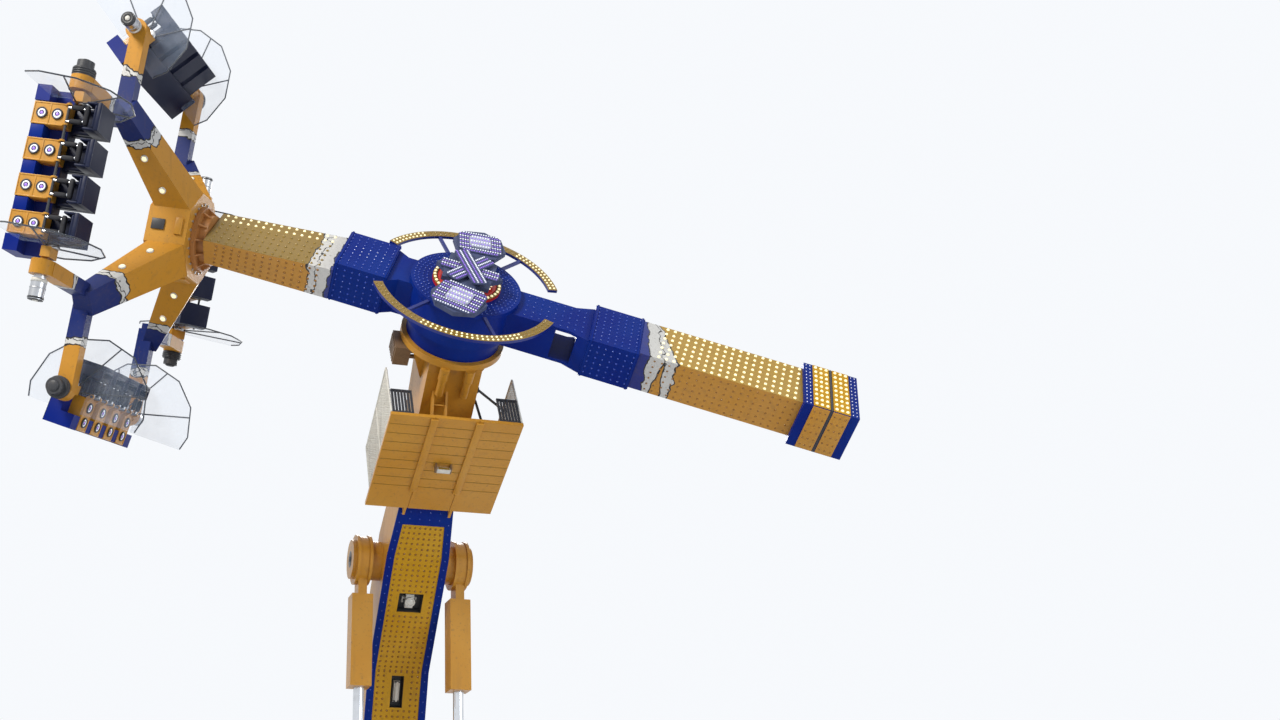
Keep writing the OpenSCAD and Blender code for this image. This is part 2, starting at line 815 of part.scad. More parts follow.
module octagon(h) {
    rotate([0, 0, 22.5]) cylinder(d = spider_af / cos(22.5), h = h, $fn = 8);
}

module spider_hub() {
    color(yellow) spider_frame() {
        translate([0, 0, hub_back + turn_gap]) octagon(spider_len);
        translate([0, 0, hub_back + turn_gap + spider_len]) cylinder(r = 420, h = 90);
    }
}

// One spider arm: a tapered box to the fork point, and two prongs with bearing eyes
module spider_arm(i) {
    arm_start = spider_af / 2 + seam;
    spider_frame() rotate([0, 0, 90 * i + 45]) difference() {
        union() {
            intersection() {
                rotate([90, 0, 0]) linear_extrude(1400, center = true) polygon([
                    [arm_start, -280], [fork_r + 180, fork_z - 170],
                    [fork_r + 180, fork_z + 170], [arm_start, 420]
                ]);
                translate([0, 0, -500]) linear_extrude(2500) polygon([
                    [arm_start, -340], [fork_r + 180, -250], [fork_r + 180, 250], [arm_start, 340]
                ]);
            }
            for (m = [-1, 1]) rotate([0, 0, 45 * m]) prong(m);
        }
        for (m = [-1, 1]) rotate([0, 0, 45 * m]) translate([axle_r, -m * half_prong, axle_z])
            rotate([90, 0, 0]) cylinder(d = axle_dia + axle_fit, h = 2 * prong_w, center = true);
    }
}

// A prong runs straight out beside its gondola; m says on which side
module prong(m) {
    root = fork_r * cos(45);
    translate([root - 100, -m * half_prong - prong_w / 2, fork_z - prong_h / 2 + 60])
        cube([axle_r - root + 100, prong_w, prong_h]);
    translate([axle_r, -m * half_prong, axle_z]) rotate([90, 0, 0])
        cylinder(d = 400, h = prong_w, center = true);
}

module spider_arm_1() {
    color(yellow) spider_arm(0);
}
module spider_arm_2() {
    color(yellow) spider_arm(1);
}
module spider_arm_3() {
    color(yellow) spider_arm(2);
}
module spider_arm_4() {
    color(yellow) spider_arm(3);
}

// The brake motor and the slip ring sit on the outer faces of the prong ends
module at_axle_end(i, side) {
    spider_frame() rotate([0, 0, 90 * i]) translate([axle_r, 0, axle_z]) rotate([0, 0, 90])
        translate([side * (half_prong + prong_w / 2 + seam), 0, 0])
            rotate([0, side * 90, 0]) children();
}

module brake_motors() {
    color(dark) for (i = [0:3]) at_axle_end(i, 1) {
        cylinder(d = 380, h = 150);
        translate([0, 0, 150]) cylinder(d = 300, h = 130);
    }
}

module slip_rings() {
    color(chrome) for (i = [0:3]) at_axle_end(i, -1) {
        cylinder(d = 200, h = 60);
        translate([0, 0, 60]) cylinder(d = 260, h = 360);
    }
}

seat_xs = [for (k = [-1.5:1:1.5]) k * seat_pitch];

module gondola_beam(i) {
    color(seat_blue) gondola_frame(i) {
        translate([-beam_len / 2, box_front + box_d, beam_z]) cube([beam_len, beam_d, box_h]);
        for (m = [-1, 1]) translate([m * (beam_len - end_box_w) / 2 - end_box_w / 2, box_front, 360])
            cube([end_box_w, box_d - seam, box_h + beam_z - 360]);
        for (x = seat_xs) translate([x, 0, 0]) seat();
    }
}

module seat() {
    translate([-seat_w / 2, seat_back_y, pan_z + seam])
        cube([seat_w, back_t, beam_z - pan_z - 2 * seam]);
    translate([-seat_w / 2, seat_front_y, pan_z - pan_t])
        cube([seat_w, seat_back_y + back_t - seat_front_y, pan_t]);
    for (m = [-1, 1]) translate([m * (seat_w - rest_t) / 2 - rest_t / 2, seat_front_y, pan_z + seam])
        cube([rest_t, seat_back_y - seam - seat_front_y, 180]);
}

// A lug under the front of a head box holds the harness shaft
module hinge_lug() {
    rotate([90, 0, 90]) linear_extrude(30, center = true) difference() {
        union() {
            translate([pivot_y, pivot_z]) circle(d = 90);
            polygon([[pivot_y - 30, pivot_z + 30], [box_front, 60], [box_front, 0], [-240, 0],
                [pivot_y + 20, pivot_z - 38]]);
        }
        translate([pivot_y, pivot_z]) circle(d = shaft_dia + shaft_fit);
    }
}

module head_boxes(i) {
    color(yellow) gondola_frame(i) {
        for (x = seat_xs) translate([x, 0, 0]) {
            translate([-box_w / 2, box_front, 0]) cube([box_w, box_d, box_h]);
            for (m = [-1, 1]) translate([m * 175, 0, 0]) hinge_lug();
        }
        for (m = [-1, 1]) {
            translate([m * (block_x + beam_len / 2) / 2, 0, beam_z - block_h])
                post(beam_len / 2 - block_x, block_d, block_h);
            translate([m * beam_len / 2, 0, 0]) rotate([0, m * 90, 0])
                cylinder(d = axle_dia, h = prong_clear + prong_w - axle_end_gap);
        }
    }
}

module shields(i) {
    color(clear) gondola_frame(i) for (m = [-1, 1]) translate([m * shield_x, 0, 0]) rotate([90, 0, 90])
        linear_extrude(shield_t, center = true) difference() {
            intersection() {
                translate([-shield_ahead, shield_up]) circle(r = shield_r, $fn = shield_facets);
                translate([-3 * shield_r, -3 * shield_r])
                    square([6 * shield_r, 3 * shield_r + shield_top]);
            }
            translate([box_front - notch_gap, -notch_gap])
                square([box_d + beam_d + 2 * notch_gap, shield_top + 2 * notch_gap]);
        }
}

module harnesses(i) {
    pad_low = pan_z + pad_clear - pivot_z;
    post_low = pad_low + pad_h / 2;
    color(chrome) gondola_frame(i) translate([0, pivot_y, pivot_z]) {
        rotate([0, 90, 0]) cylinder(d = shaft_dia, h = 2 * (shield_x - 75), center = true);
        for (x = seat_xs) translate([x, 0, 0]) {
            for (m = [-1, 1]) translate([m * 120, -20, post_low]) post(60, 60, -post_low);
            translate([0, -20, pad_low]) post(340, 90, pad_h);
        }
    }
}

module gondola_beam_1() { gondola_beam(0); }
module gondola_beam_2() { gondola_beam(1); }
module gondola_beam_3() { gondola_beam(2); }
module gondola_beam_4() { gondola_beam(3); }
module head_boxes_1() { head_boxes(0); }
module head_boxes_2() { head_boxes(1); }
module head_boxes_3() { head_boxes(2); }
module head_boxes_4() { head_boxes(3); }
module shields_1() { shields(0); }
module shields_2() { shields(1); }
module shields_3() { shields(2); }
module shields_4() { shields(3); }
module harnesses_1() { harnesses(0); }
module harnesses_2() { harnesses(1); }
module harnesses_3() { harnesses(2); }
module harnesses_4() { harnesses(3); }

chassis();
outriggers();
jack_feet();
mast_foot();
mast_lower();
mast_upper();
mast_neck();
trunnions();
strut_heads();
strut_rods();
strut_barrels();
decor_border();
lamp_panel();
lamp_units();
platform_floor();
side_fences();
front_fences();
valve_box();
stay_tubes();
slew_flange();
hub_motors();
louvre_box();
service_ladder();
hub_drum();
arm_frame();
front_disc();
centre_boss();
centre_sign();
lamp_arcs();
boom();
tail();
counterweight();
collar();
spider_hub();
spider_arm_1();
spider_arm_2();
spider_arm_3();
spider_arm_4();
brake_motors();
slip_rings();
gondola_beam_1();
gondola_beam_2();
gondola_beam_3();
gondola_beam_4();
head_boxes_1();
head_boxes_2();
head_boxes_3();
head_boxes_4();
shields_1();
shields_2();
shields_3();
shields_4();
harnesses_1();
harnesses_2();
harnesses_3();
harnesses_4();
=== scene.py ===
"""Looks of a counterweighted swing arm ride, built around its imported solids.

Lengths are in metres. Z is up, the ride faces -Y, and the origin lies on the ground below the hub.
"""

import sys
import logging
import math
from dataclasses import dataclass, field
from enum import Enum
from typing import Callable, Iterable, Optional, Sequence

import bmesh
import bpy
from mathutils import Matrix, Vector


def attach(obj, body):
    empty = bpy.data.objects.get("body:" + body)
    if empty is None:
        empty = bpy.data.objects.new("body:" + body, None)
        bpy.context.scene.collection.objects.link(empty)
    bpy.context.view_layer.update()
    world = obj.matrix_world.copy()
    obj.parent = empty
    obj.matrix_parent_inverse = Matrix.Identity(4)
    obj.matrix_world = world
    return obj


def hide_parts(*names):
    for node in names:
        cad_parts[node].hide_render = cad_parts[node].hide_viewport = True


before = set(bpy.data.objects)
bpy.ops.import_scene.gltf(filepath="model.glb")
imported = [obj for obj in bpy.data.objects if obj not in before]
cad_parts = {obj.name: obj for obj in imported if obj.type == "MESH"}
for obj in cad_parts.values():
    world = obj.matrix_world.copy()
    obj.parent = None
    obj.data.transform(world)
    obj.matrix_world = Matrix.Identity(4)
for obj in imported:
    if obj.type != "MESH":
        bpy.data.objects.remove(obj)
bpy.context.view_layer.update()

LOG = logging.getLogger("ride")
GONDOLAS = (1, 2, 3, 4)
SIDES = (-1, 1)
UPRIGHT = Matrix.Identity(4)

Colour = tuple[float, float, float]
Point = tuple[float, float, float]
Profile = Sequence[tuple[float, float]]
Socket = bpy.types.NodeSocket
Node = bpy.types.Node
Studded = list[tuple[Vector, Vector]]


# Places

def turned(degrees: float, axis: str) -> Matrix:
    """A turn about an axis."""
    return Matrix.Rotation(math.radians(degrees), 4, axis)


def moved(x: float = 0.0, y: float = 0.0, z: float = 0.0) -> Matrix:
    """A shift."""
    return Matrix.Translation((x, y, z))


def face_frame(place: Matrix, spot: Point, x_axis: Point, out: Point) -> Matrix:
    """A face's frame from a point on it and two directions.

    Args:
        place: the frame that the point and directions are in.
        spot: the point.
        x_axis: the direction of its X.
        out: the direction out of it.

    Returns:
        The face's frame.
    """
    x, z = Vector(x_axis).normalized(), Vector(out).normalized()
    turn = Matrix((x, z.cross(x), z)).transposed().to_4x4()
    return place @ Matrix.Translation(spot) @ turn


@dataclass(frozen=True)
class RideFrames:
    """Frames of the ride's parts at rest, from the sizes that place them."""

    foot_h: float = 1.2
    lower_len: float = 6.24
    lower_lean: float = 19.0
    upper_len: float = 6.9
    upper_lean: float = 41.0
    hub_ahead: float = 0.2
    mast_front: float = 0.574
    hub_tilt: float = 30.0
    arm_angle: float = 19.5
    spider_x: float = 5.416
    spider_s: float = 0.705
    crank: float = 10.9
    spider_angle: float = 133.2
    axle_r: float = 3.39
    axle_z: float = 1.08
    plat_drop: float = 1.64
    plat_ahead: float = 0.64
    plat_tilt: float = 24.0
    tilts: tuple[float, ...] = (0.0, -45.0, 52.0, 80.0)

    def directions(self, lean: float) -> tuple[Vector, Vector]:
        """The direction up a leaning mast box and the one out of its front."""
        a = math.radians(lean)
        return Vector((0, -math.sin(a), math.cos(a))), Vector((0, -math.cos(a), -math.sin(a)))

    def kink(self) -> Vector:
        """The point where the two mast boxes meet.

        Returns:
            The point, on the mast's middle line.
        """
        up, _ = self.directions(self.lower_lean)
        top, out = self.directions(self.upper_lean)
        foot_y = -(self.lower_len * up.y + self.upper_len * top.y + self.hub_ahead * out.y)
        return Vector((0, foot_y, self.foot_h)) + self.lower_len * up

    def hub_centre(self) -> Vector:
        """The centre of the hub."""
        up, out = self.directions(self.upper_lean)
        return self.kink() + self.upper_len * up + self.hub_ahead * out

    def arm(self) -> Matrix:
        """Frame of the arm: X towards the spider, Z forward along the hub's axis."""
        hub = moved(*self.hub_centre()) @ turned(90 - self.hub_tilt, "X")
        return hub @ turned(180 - self.arm_angle, "Z")

    def spider(self) -> Matrix:
        """Frame of the spider: Z outward along its axis, X towards the first gondola."""
        root = self.arm() @ moved(self.spider_x, 0, self.spider_s)
        return root @ turned(90 + self.crank, "Y") @ turned(self.spider_angle, "Z")

    def gondola(self, index: int) -> Matrix:
        """Frame of a gondola, by its number from 1: X along its axle, Z up and -Y forward."""
        axle = self.spider() @ turned(90 * (index - 1), "Z") @ moved(self.axle_r, 0, self.axle_z)
        return axle @ turned(90, "Z") @ turned(self.tilts[index - 1], "X")

    def face(self, lean: float, off: float = 0.0) -> Matrix:
        """Frame of the mast's front, level with the kink: X across, Y up the face, Z out of it."""
        _, out = self.directions(lean)
        return moved(*(self.kink() + (self.mast_front + off) * out)) @ turned(90 + lean, "X")

    def platform(self) -> Matrix:
        """Frame of the platform: X across, Y back along the floor, Z up off it."""
        near = self.hub_centre() + Vector((0, -self.plat_ahead, -self.plat_drop))
        return moved(*near) @ turned(-self.plat_tilt, "X")


PLACES = RideFrames()


# Node trees

class Tree:
    """A shader or geometry node tree, with short calls for its nodes."""

    def __init__(self, tree: bpy.types.NodeTree) -> None:
        """Wraps a node tree."""
        self.tree = tree

    def give(self, socket: Socket, value: object) -> None:
        """Links an input or sets its value.

        Args:
            socket: the input.
            value: another node's output, or a plain value.
        """
        if isinstance(value, Socket):
            self.tree.links.new(value, socket)
        elif socket.type == "RGBA" and len(value) == 3:
            socket.default_value = (*value, 1.0)
        else:
            socket.default_value = value

    def feed(self, node: Node, **values: object) -> None:
        """Gives inputs their values, by the input's name with _ for a space."""
        for key, value in values.items():
            self.give(node.inputs[key.replace("_", " ")], value)

    def add(self, kind: str, *given: object, **values: object) -> Node:
        """Adds a node.

        Args:
            kind: the node's type name.
            given: values or sockets of its first inputs.
            values: its properties by name, and inputs as in feed.

        Returns:
            The new node.
        """
        node = self.tree.nodes.new(kind)
        for key, value in values.items():
            if hasattr(node, key):
                setattr(node, key, value)
            else:
                self.feed(node, **{key: value})
        for number, value in enumerate(given):
            self.give(node.inputs[number], value)
        return node

    def math(self, operation: str, a: object, b: object = 0.0) -> Socket:
        """The result of a Math node on two values or sockets."""
        return self.add("ShaderNodeMath", a, b, operation=operation).outputs[0]

    def mix(self, factor: object, a: object, b: object) -> Socket:
        """A mix of two colours.

        Args:
            factor: how much of b shows.
            a: first colour.
            b: second colour.

        Returns:
            The mixed colour.
        """
        node = self.add("ShaderNodeMix", data_type="RGBA", Factor=factor)
        for number, colour in ((6, a), (7, b)):
            self.give(node.inputs[number], colour)
        return node.outputs[2]

    def noise(self, where: Socket, scale: float, detail: float = 3.0) -> Socket:
        """The factor of a Noise Texture on the given coordinates."""
        return self.add("ShaderNodeTexNoise", where, Scale=scale, Detail=detail).outputs["Fac"]

    def ramp(self, value: Socket, low: float, high: float) -> Socket:
        """A value stretched so that low becomes 0 and high becomes 1, and held there."""
        return self.add("ShaderNodeMapRange", value, From_Min=low, From_Max=high).outputs["Result"]

    def bump(self, height: Socket, strength: float, distance: float) -> Socket:
        """The normal of a Bump node."""
        node = self.add("ShaderNodeBump", Strength=strength, Distance=distance, Height=height)
        return node.outputs["Normal"]

    def local(self, place: Optional[Matrix] = None) -> Socket:
        """Object coordinates, turned into a piece's own frame.

        Args:
            place: the frame, or None for the ride's own.

        Returns:
            The coordinates.
        """
        where = self.add("ShaderNodeTexCoord").outputs["Object"]
        if place is None:
            return where
        back = place.inverted()
        return self.add("ShaderNodeMapping", where, Location=back.to_translation(),
                        Rotation=back.to_euler()).outputs["Vector"]

    def axes(self, place: Optional[Matrix]) -> tuple[Socket, Socket, Socket, Socket]:
        """Coordinates in a piece's own frame, whole and as X, Y and Z."""
        where = self.local(place)
        return where, *self.add("ShaderNodeSeparateXYZ", where).outputs


SOCKETS = {"Vector": "Vector", "Color": "Color", "Faded": "Color", "Grime": "Color",
           "Geometry": "Geometry", "Material": "Material", "Sides": "Int"}
Fill = Callable[[Tree, Node, Node], None]


def node_group(kind: str, name: str, inputs: str, outputs: str, fill: Fill) -> bpy.types.NodeTree:
    """A node group, built once. An input is a number unless SOCKETS gives its kind.

    Args:
        kind: Shader or Geometry.
        name: the group's name.
        inputs: names of its inputs.
        outputs: names of its outputs.
        fill: adds the nodes between the group's input and output.

    Returns:
        The group.
    """
    group = bpy.data.node_groups.get(name)
    if group is None:
        group = bpy.data.node_groups.new(name, kind + "NodeTree")
        for way, labels in (("INPUT", inputs), ("OUTPUT", outputs)):
            for label in labels.split():
                group.interface.new_socket(name=label, in_out=way,
                                           socket_type="NodeSocket" + SOCKETS.get(label, "Float"))
        fill(Tree(group), group.nodes.new("NodeGroupInput"), group.nodes.new("NodeGroupOutput"))
    return group


def _fill_weather(s: Tree, given: Node, out: Node) -> None:
    """Broad fading, rain streaks and speckled dirt on outdoor paint.

    Args:
        s: the group's tree.
        given: the group's input node.
        out: the group's output node.
    """
    where = given.outputs["Vector"]
    long = s.add("ShaderNodeMapping", where, Scale=(5.0, 5.0, 0.45)).outputs["Vector"]
    broad = s.ramp(s.noise(where, 0.9, 2.0), 0.35, 0.65)
    streak = s.ramp(s.noise(long, 1.6, 4.0), 0.56, 0.74)
    speck = s.ramp(s.noise(where, 22.0, 5.0), 0.60, 0.72)
    faded = s.mix(s.math("MULTIPLY", broad, 0.55), given.outputs["Color"], given.outputs["Faded"])
    dirt = s.math("MAXIMUM", s.math("MULTIPLY", streak, 0.6), speck)
    dirt = s.math("MULTIPLY", dirt, given.outputs["Dirt"])
    s.feed(out, Color=s.mix(dirt, faded, given.outputs["Grime"]), Mask=dirt, Height=s.noise(where, 60.0, 2.0))


def _fill_torn(s: Tree, given: Node, out: Node) -> None:
    """A ragged painted band with black outlines and a wavering black line through it.

    Args:
        s: the group's tree.
        given: the group's input node.
        out: the group's output node.
    """
    where = given.outputs["Vector"]
    other = s.add("ShaderNodeMapping", where, Location=(3.1, 7.7, 1.9)).outputs["Vector"]
    past = []
    for vector, share, sway in ((where, 0.0, 1.0), (other, 1.0, 1.0), (other, 0.62, 1.9)):
        wave = s.math("SUBTRACT", s.noise(vector, 3.4, 3.0), 0.5)
        wave = s.math("MULTIPLY", s.math("MULTIPLY", wave, given.outputs["Ragged"]), sway)
        at = s.math("SUBTRACT", s.math("ADD", given.outputs["Along"], wave), given.outputs["Edge"])
        past.append(s.math("SUBTRACT", at, s.math("MULTIPLY", given.outputs["Width"], share)))
    near, far = (s.math("GREATER_THAN", at, 0.0) for at in past[:2])
    lines = [s.math("LESS_THAN", s.math("ABSOLUTE", at), given.outputs["Line"]) for at in past]
    inside = s.math("MULTIPLY", lines[2], s.math("SUBTRACT", near, far))
    s.feed(out, Near=near, Far=far, Lines=s.math("MAXIMUM", s.math("MAXIMUM", *lines[:2]), inside))


def weather_group() -> bpy.types.NodeTree:
    """The node group that ages paint."""
    return node_group("Shader", "weathered_paint", "Vector Color Faded Grime Dirt", "Color Mask Height",
                      _fill_weather)


def torn_group() -> bpy.types.NodeTree:
    """The node group that draws a torn edge of paint."""
    return node_group("Shader", "torn_edge", "Vector Along Edge Width Ragged Line", "Near Far Lines", _fill_torn)


# Finishes

YELLOW: Colour = (0.50, 0.225, 0.020)
YELLOW_FADED: Colour = (0.56, 0.285, 0.045)
BLUE: Colour = (0.002, 0.014, 0.18)
BLUE_FADED: Colour = (0.003, 0.030, 0.22)
FORK_BLUE: Colour = (0.001, 0.013, 0.12)
GOLD: Colour = (0.23, 0.14, 0.018)
GOLD_FADED: Colour = (0.30, 0.19, 0.035)
TAIL_GOLD: Colour = (0.40, 0.235, 0.026)
# Dark of the seat shells, also used as painted shade on the gondola beam's back.
SHELL_AND_BACK_SHADE: Colour = (0.006, 0.010, 0.034)
PALE: Colour = (0.56, 0.55, 0.53)
CHALK: Colour = (1.0, 0.95, 0.85)
BLACK: Colour = (0.012, 0.012, 0.014)
GRIME: Colour = (0.10, 0.07, 0.045)


def scaled(colour: Colour, share: float, lift: float = 0.0) -> Colour:
    """A colour made darker or lighter, held at 1."""
    return tuple(min(1.0, share * c + lift) for c in colour)


@dataclass(frozen=True)
class Look:
    """A finish with a name of its own."""

    name: str

    def fill(self, s: Tree, shader: Node) -> None:
        """Sets up the finish's nodes in the material's tree, around its Principled shader."""
        raise NotImplementedError

    def build(self) -> bpy.types.Material:
        """Makes the material, once.

        Returns:
            The material.
        """
        name = f"ride_{self.name}"
        material = bpy.data.materials.get(name)
        if material is None:
            material = bpy.data.materials.new(name)
            material.use_nodes = True
            self.fill(Tree(material.node_tree), material.node_tree.nodes["Principled BSDF"])
        return material


@dataclass(frozen=True)
class Paint(Look):
    """Outdoor paint on steel, faded and streaked."""

    colour: Colour
    faded: Colour
    roughness: float = 0.38
    dirt: float = 0.35
    coat: float = 0.15
    shine: float = 0.30
    place: Optional[Matrix] = None

    def colours(self, s: Tree) -> Socket | Colour:
        """The paint's colour before weathering, plain or as a socket."""
        return self.colour

    def fill(self, s: Tree, shader: Node) -> None:
        """Sets up the paint, its weathering and its bump.

        Args:
            s: the material's tree.
            shader: its Principled shader.
        """
        base = self.colours(s)
        faded = s.mix(0.035, base, CHALK) if isinstance(base, Socket) else self.faded
        aged = s.add("ShaderNodeGroup", node_tree=weather_group(), Vector=s.local(), Color=base, Faded=faded,
                     Grime=GRIME, Dirt=self.dirt).outputs
        rough = s.math("ADD", s.math("MULTIPLY", aged["Mask"], 0.35), self.roughness)
        s.feed(shader, Base_Color=aged["Color"], Roughness=rough, Normal=s.bump(aged["Height"], 0.08, 0.004),
               Specular_IOR_Level=self.shine, Coat_Weight=self.coat, Coat_Roughness=0.12)


@dataclass(frozen=True)
class TornPaint(Paint):
    """Paint that changes from one colour to another across a torn, outlined pale band."""

    start: Colour = BLUE
    edge: float = 2.5
    width: float = 0.3
    ragged: float = 0.3
    line: float = 0.012
    mirrored: bool = False
    slope: tuple[float, float, float] = (0.0, 9.0, 0.0)
    lean: float = 0.0
    spread: float = 0.0
    fork: Optional[float] = None
    sheet: Colour = GOLD

    def colours(self, s: Tree) -> Socket | Colour:
        """The two colours and the band between them, with a gold front.

        Args:
            s: the material's tree.

        Returns:
            The colour socket.
        """
        where, run, across, up = s.axes(self.place)
        start, height, fall = self.slope
        level = s.math("ADD", up, s.math("MULTIPLY", s.math("SUBTRACT", run, start), fall))
        front = s.math("GREATER_THAN", level, height - 0.004)
        if self.mirrored:
            run = s.math("MULTIPLY", run, -1.0)
        edge = s.math("ADD", s.math("MULTIPLY", across, self.lean), self.edge)
        width = s.math("ADD", s.math("MULTIPLY", across, self.spread), self.width)
        colour = self._band(s, where, run, (self.start, s.mix(front, self.colour, self.sheet)), edge, width)
        return colour if self.fork is None else self._forked(s, where, run, across, height, level, colour)

    def _forked(self, s: Tree, where: Socket, run: Socket, across: Socket, height: float, level: Socket,
                colour: Socket) -> Socket:
        """A tapering patch of the far colour that splits the band low on one side.

        Args:
            s: the material's tree.
            where: coordinates for the ragged edge.
            run: distance along the piece.
            across: distance towards the side with the patch.
            height: the height of the front face.
            level: height, level with that face.
            colour: the paint so far.

        Returns:
            The colour socket.
        """
        depth = s.math("SUBTRACT", height, level)
        wave = s.math("MULTIPLY", s.math("SUBTRACT", s.noise(where, 4.0, 2.0), 0.5), 0.12)
        half = s.math("ADD", s.math("MULTIPLY", depth, 0.13), wave)
        off = s.math("SUBTRACT", half, s.math("ABSOLUTE", s.math("SUBTRACT", run, self.fork)))
        below = s.math("MULTIPLY", s.math("GREATER_THAN", across, 0.3), s.math("GREATER_THAN", depth, 0.03))
        patch = s.math("MULTIPLY", s.math("GREATER_THAN", off, 0.0), below)
        rim = s.math("MULTIPLY", s.math("LESS_THAN", s.math("ABSOLUTE", off), self.line), below)
        return s.mix(rim, s.mix(patch, colour, self.colour), BLACK)

    def _band(self, s: Tree, where: Socket, along: Socket, sides: tuple[object, object], edge: object,
              width: object) -> Socket:
        """One torn band.

        Args:
            s: the material's tree.
            where: coordinates for the ragged edge.
            along: distance along the piece.
            sides: the colours before and past the band.
            edge: where the band starts.
            width: how wide the band is.

        Returns:
            The colour socket.
        """
        torn = s.add("ShaderNodeGroup", node_tree=torn_group(), Vector=where, Along=along, Edge=edge, Width=width,
                     Ragged=self.ragged, Line=self.line).outputs
        colour = s.mix(torn["Far"], s.mix(torn["Near"], sides[0], PALE), sides[1])
        return s.mix(torn["Lines"], colour, BLACK)


@dataclass(frozen=True)
class SpiderPaint(TornPaint):
    """A spider arm's paint: yellow, then a blue fork, then yellow prong ends."""

    root_edge: float = 1.95
    prong_edge: float = 2.45

    def colours(self, s: Tree) -> Socket | Colour:
        """Yellow and blue zones from the hub outward.

        Args:
            s: the material's tree.

        Returns:
            The colour socket.
        """
        where, x, y, _ = s.axes(self.place)
        colour = self._band(s, where, x, (self.colour, self.start), self.root_edge, self.width)
        prong = s.math("MULTIPLY", s.math("ADD", x, s.math("ABSOLUTE", y)), math.sqrt(0.5))
        return self._band(s, where, prong, (colour, self.colour), self.prong_edge, self.width)


@dataclass(frozen=True)
class ArcPaint(Paint):
    """Gold on the front of the lamp arcs, and blue on their edges, backs and spokes."""

    inner: float = 1.62
    front: float = 1.528

    def colours(self, s: Tree) -> Socket | Colour:
        """Gold on the front of the arcs, and blue elsewhere.

        Args:
            s: the material's tree.

        Returns:
            The colour socket.
        """
        _, x, y, z = s.axes(self.place)
        far = s.math("ADD", s.math("MULTIPLY", x, x), s.math("MULTIPLY", y, y))
        outer = s.math("GREATER_THAN", far, self.inner * self.inner)
        return s.mix(s.math("MULTIPLY", outer, s.math("GREATER_THAN", z, self.front)), BLUE, self.colour)


@dataclass(frozen=True)
class SeatBeamPaint(Paint):
    """Blue paint on a gondola's beam, with dark shells below it and painted shade on the beam's back."""

    shell_top: float = 0.045
    # Past this depth the beam's back is painted dark: painted shade.
    back: float = 0.23

    def colours(self, s: Tree) -> Socket | Colour:
        """Blue above the seats, dark below them for the shells, and painted shade on the beam's back.

        Args:
            s: the material's tree.

        Returns:
            The colour socket.
        """
        _, _, y, z = s.axes(self.place)
        # Dark below the seats for the shells, and painted shade on the beam's back past self.back.
        above, front = s.math("GREATER_THAN", z, self.shell_top), s.math("LESS_THAN", y, self.back)
        return s.mix(s.math("MULTIPLY", above, front), SHELL_AND_BACK_SHADE, self.colour)


@dataclass(frozen=True)
class Metal(Look):
    """Bare or plated metal with fine scratches."""

    colour: Colour
    roughness: float

    def fill(self, s: Tree, shader: Node) -> None:
        """Sets up the metal's blotches and scratches.

        Args:
            s: the material's tree.
            shader: its Principled shader.
        """
        where = s.local()
        blotch = s.ramp(s.noise(where, 3.0, 4.0), 0.4, 0.7)
        s.feed(shader, Base_Color=s.mix(blotch, self.colour, scaled(self.colour, 0.8)),
               Roughness=s.math("ADD", s.math("MULTIPLY", blotch, 0.12), self.roughness),
               Normal=s.bump(s.noise(where, 90.0, 2.0), 0.05, 0.002), Metallic=1.0)


@dataclass(frozen=True)
class Plastic(Look):
    """Moulded plastic or foam with a fine grain."""

    colour: Colour
    roughness: float = 0.45
    grain: float = 140.0

    def fill(self, s: Tree, shader: Node) -> None:
        """Sets up the plastic's worn patches and its grain.

        Args:
            s: the material's tree.
            shader: its Principled shader.
        """
        where = s.local()
        worn = s.ramp(s.noise(where, 6.0, 5.0), 0.52, 0.75)
        colour = s.mix(s.math("MULTIPLY", worn, 0.6), self.colour, scaled(self.colour, 1.35, 0.02))
        s.feed(shader, Base_Color=colour, Roughness=s.math("ADD", s.math("MULTIPLY", worn, 0.2), self.roughness),
               Normal=s.bump(s.noise(where, self.grain, 2.0), 0.15, 0.001), Specular_IOR_Level=0.2)


@dataclass(frozen=True)
class LampGlass(Look):
    """A lamp's cap, lit or dark."""

    colour: Colour
    glow: float = 0.0

    def fill(self, s: Tree, shader: Node) -> None:
        """Sets up the cap's mottled colour and its glow.

        Args:
            s: the material's tree.
            shader: its Principled shader.
        """
        mottle = s.ramp(s.noise(s.local(), 11.0, 2.0), 0.3, 0.7)
        colour = s.mix(mottle, self.colour, scaled(self.colour, 0.72))
        s.feed(shader, Base_Color=colour, Roughness=0.18)
        if self.glow > 0.0:
            s.feed(shader, Emission_Color=colour, Emission_Strength=self.glow)


@dataclass(frozen=True)
class ClearSheet(Look):
    """Clear plastic sheet, a little cloudy."""

    def fill(self, s: Tree, shader: Node) -> None:
        """Sets up the sheet's tint and its cloudy patches.

        Args:
            s: the material's tree.
            shader: its Principled shader.
        """
        cloud = s.ramp(s.noise(s.local(), 2.4, 4.0), 0.35, 0.7)
        s.feed(shader, Base_Color=s.mix(cloud, (0.40, 0.52, 0.72), (0.56, 0.62, 0.76)),
               Alpha=s.math("ADD", s.math("MULTIPLY", cloud, 0.07), 0.07), Roughness=0.08)


MATT_BLUE = {"dirt": 0.06, "coat": 0.01, "shine": 0.07}


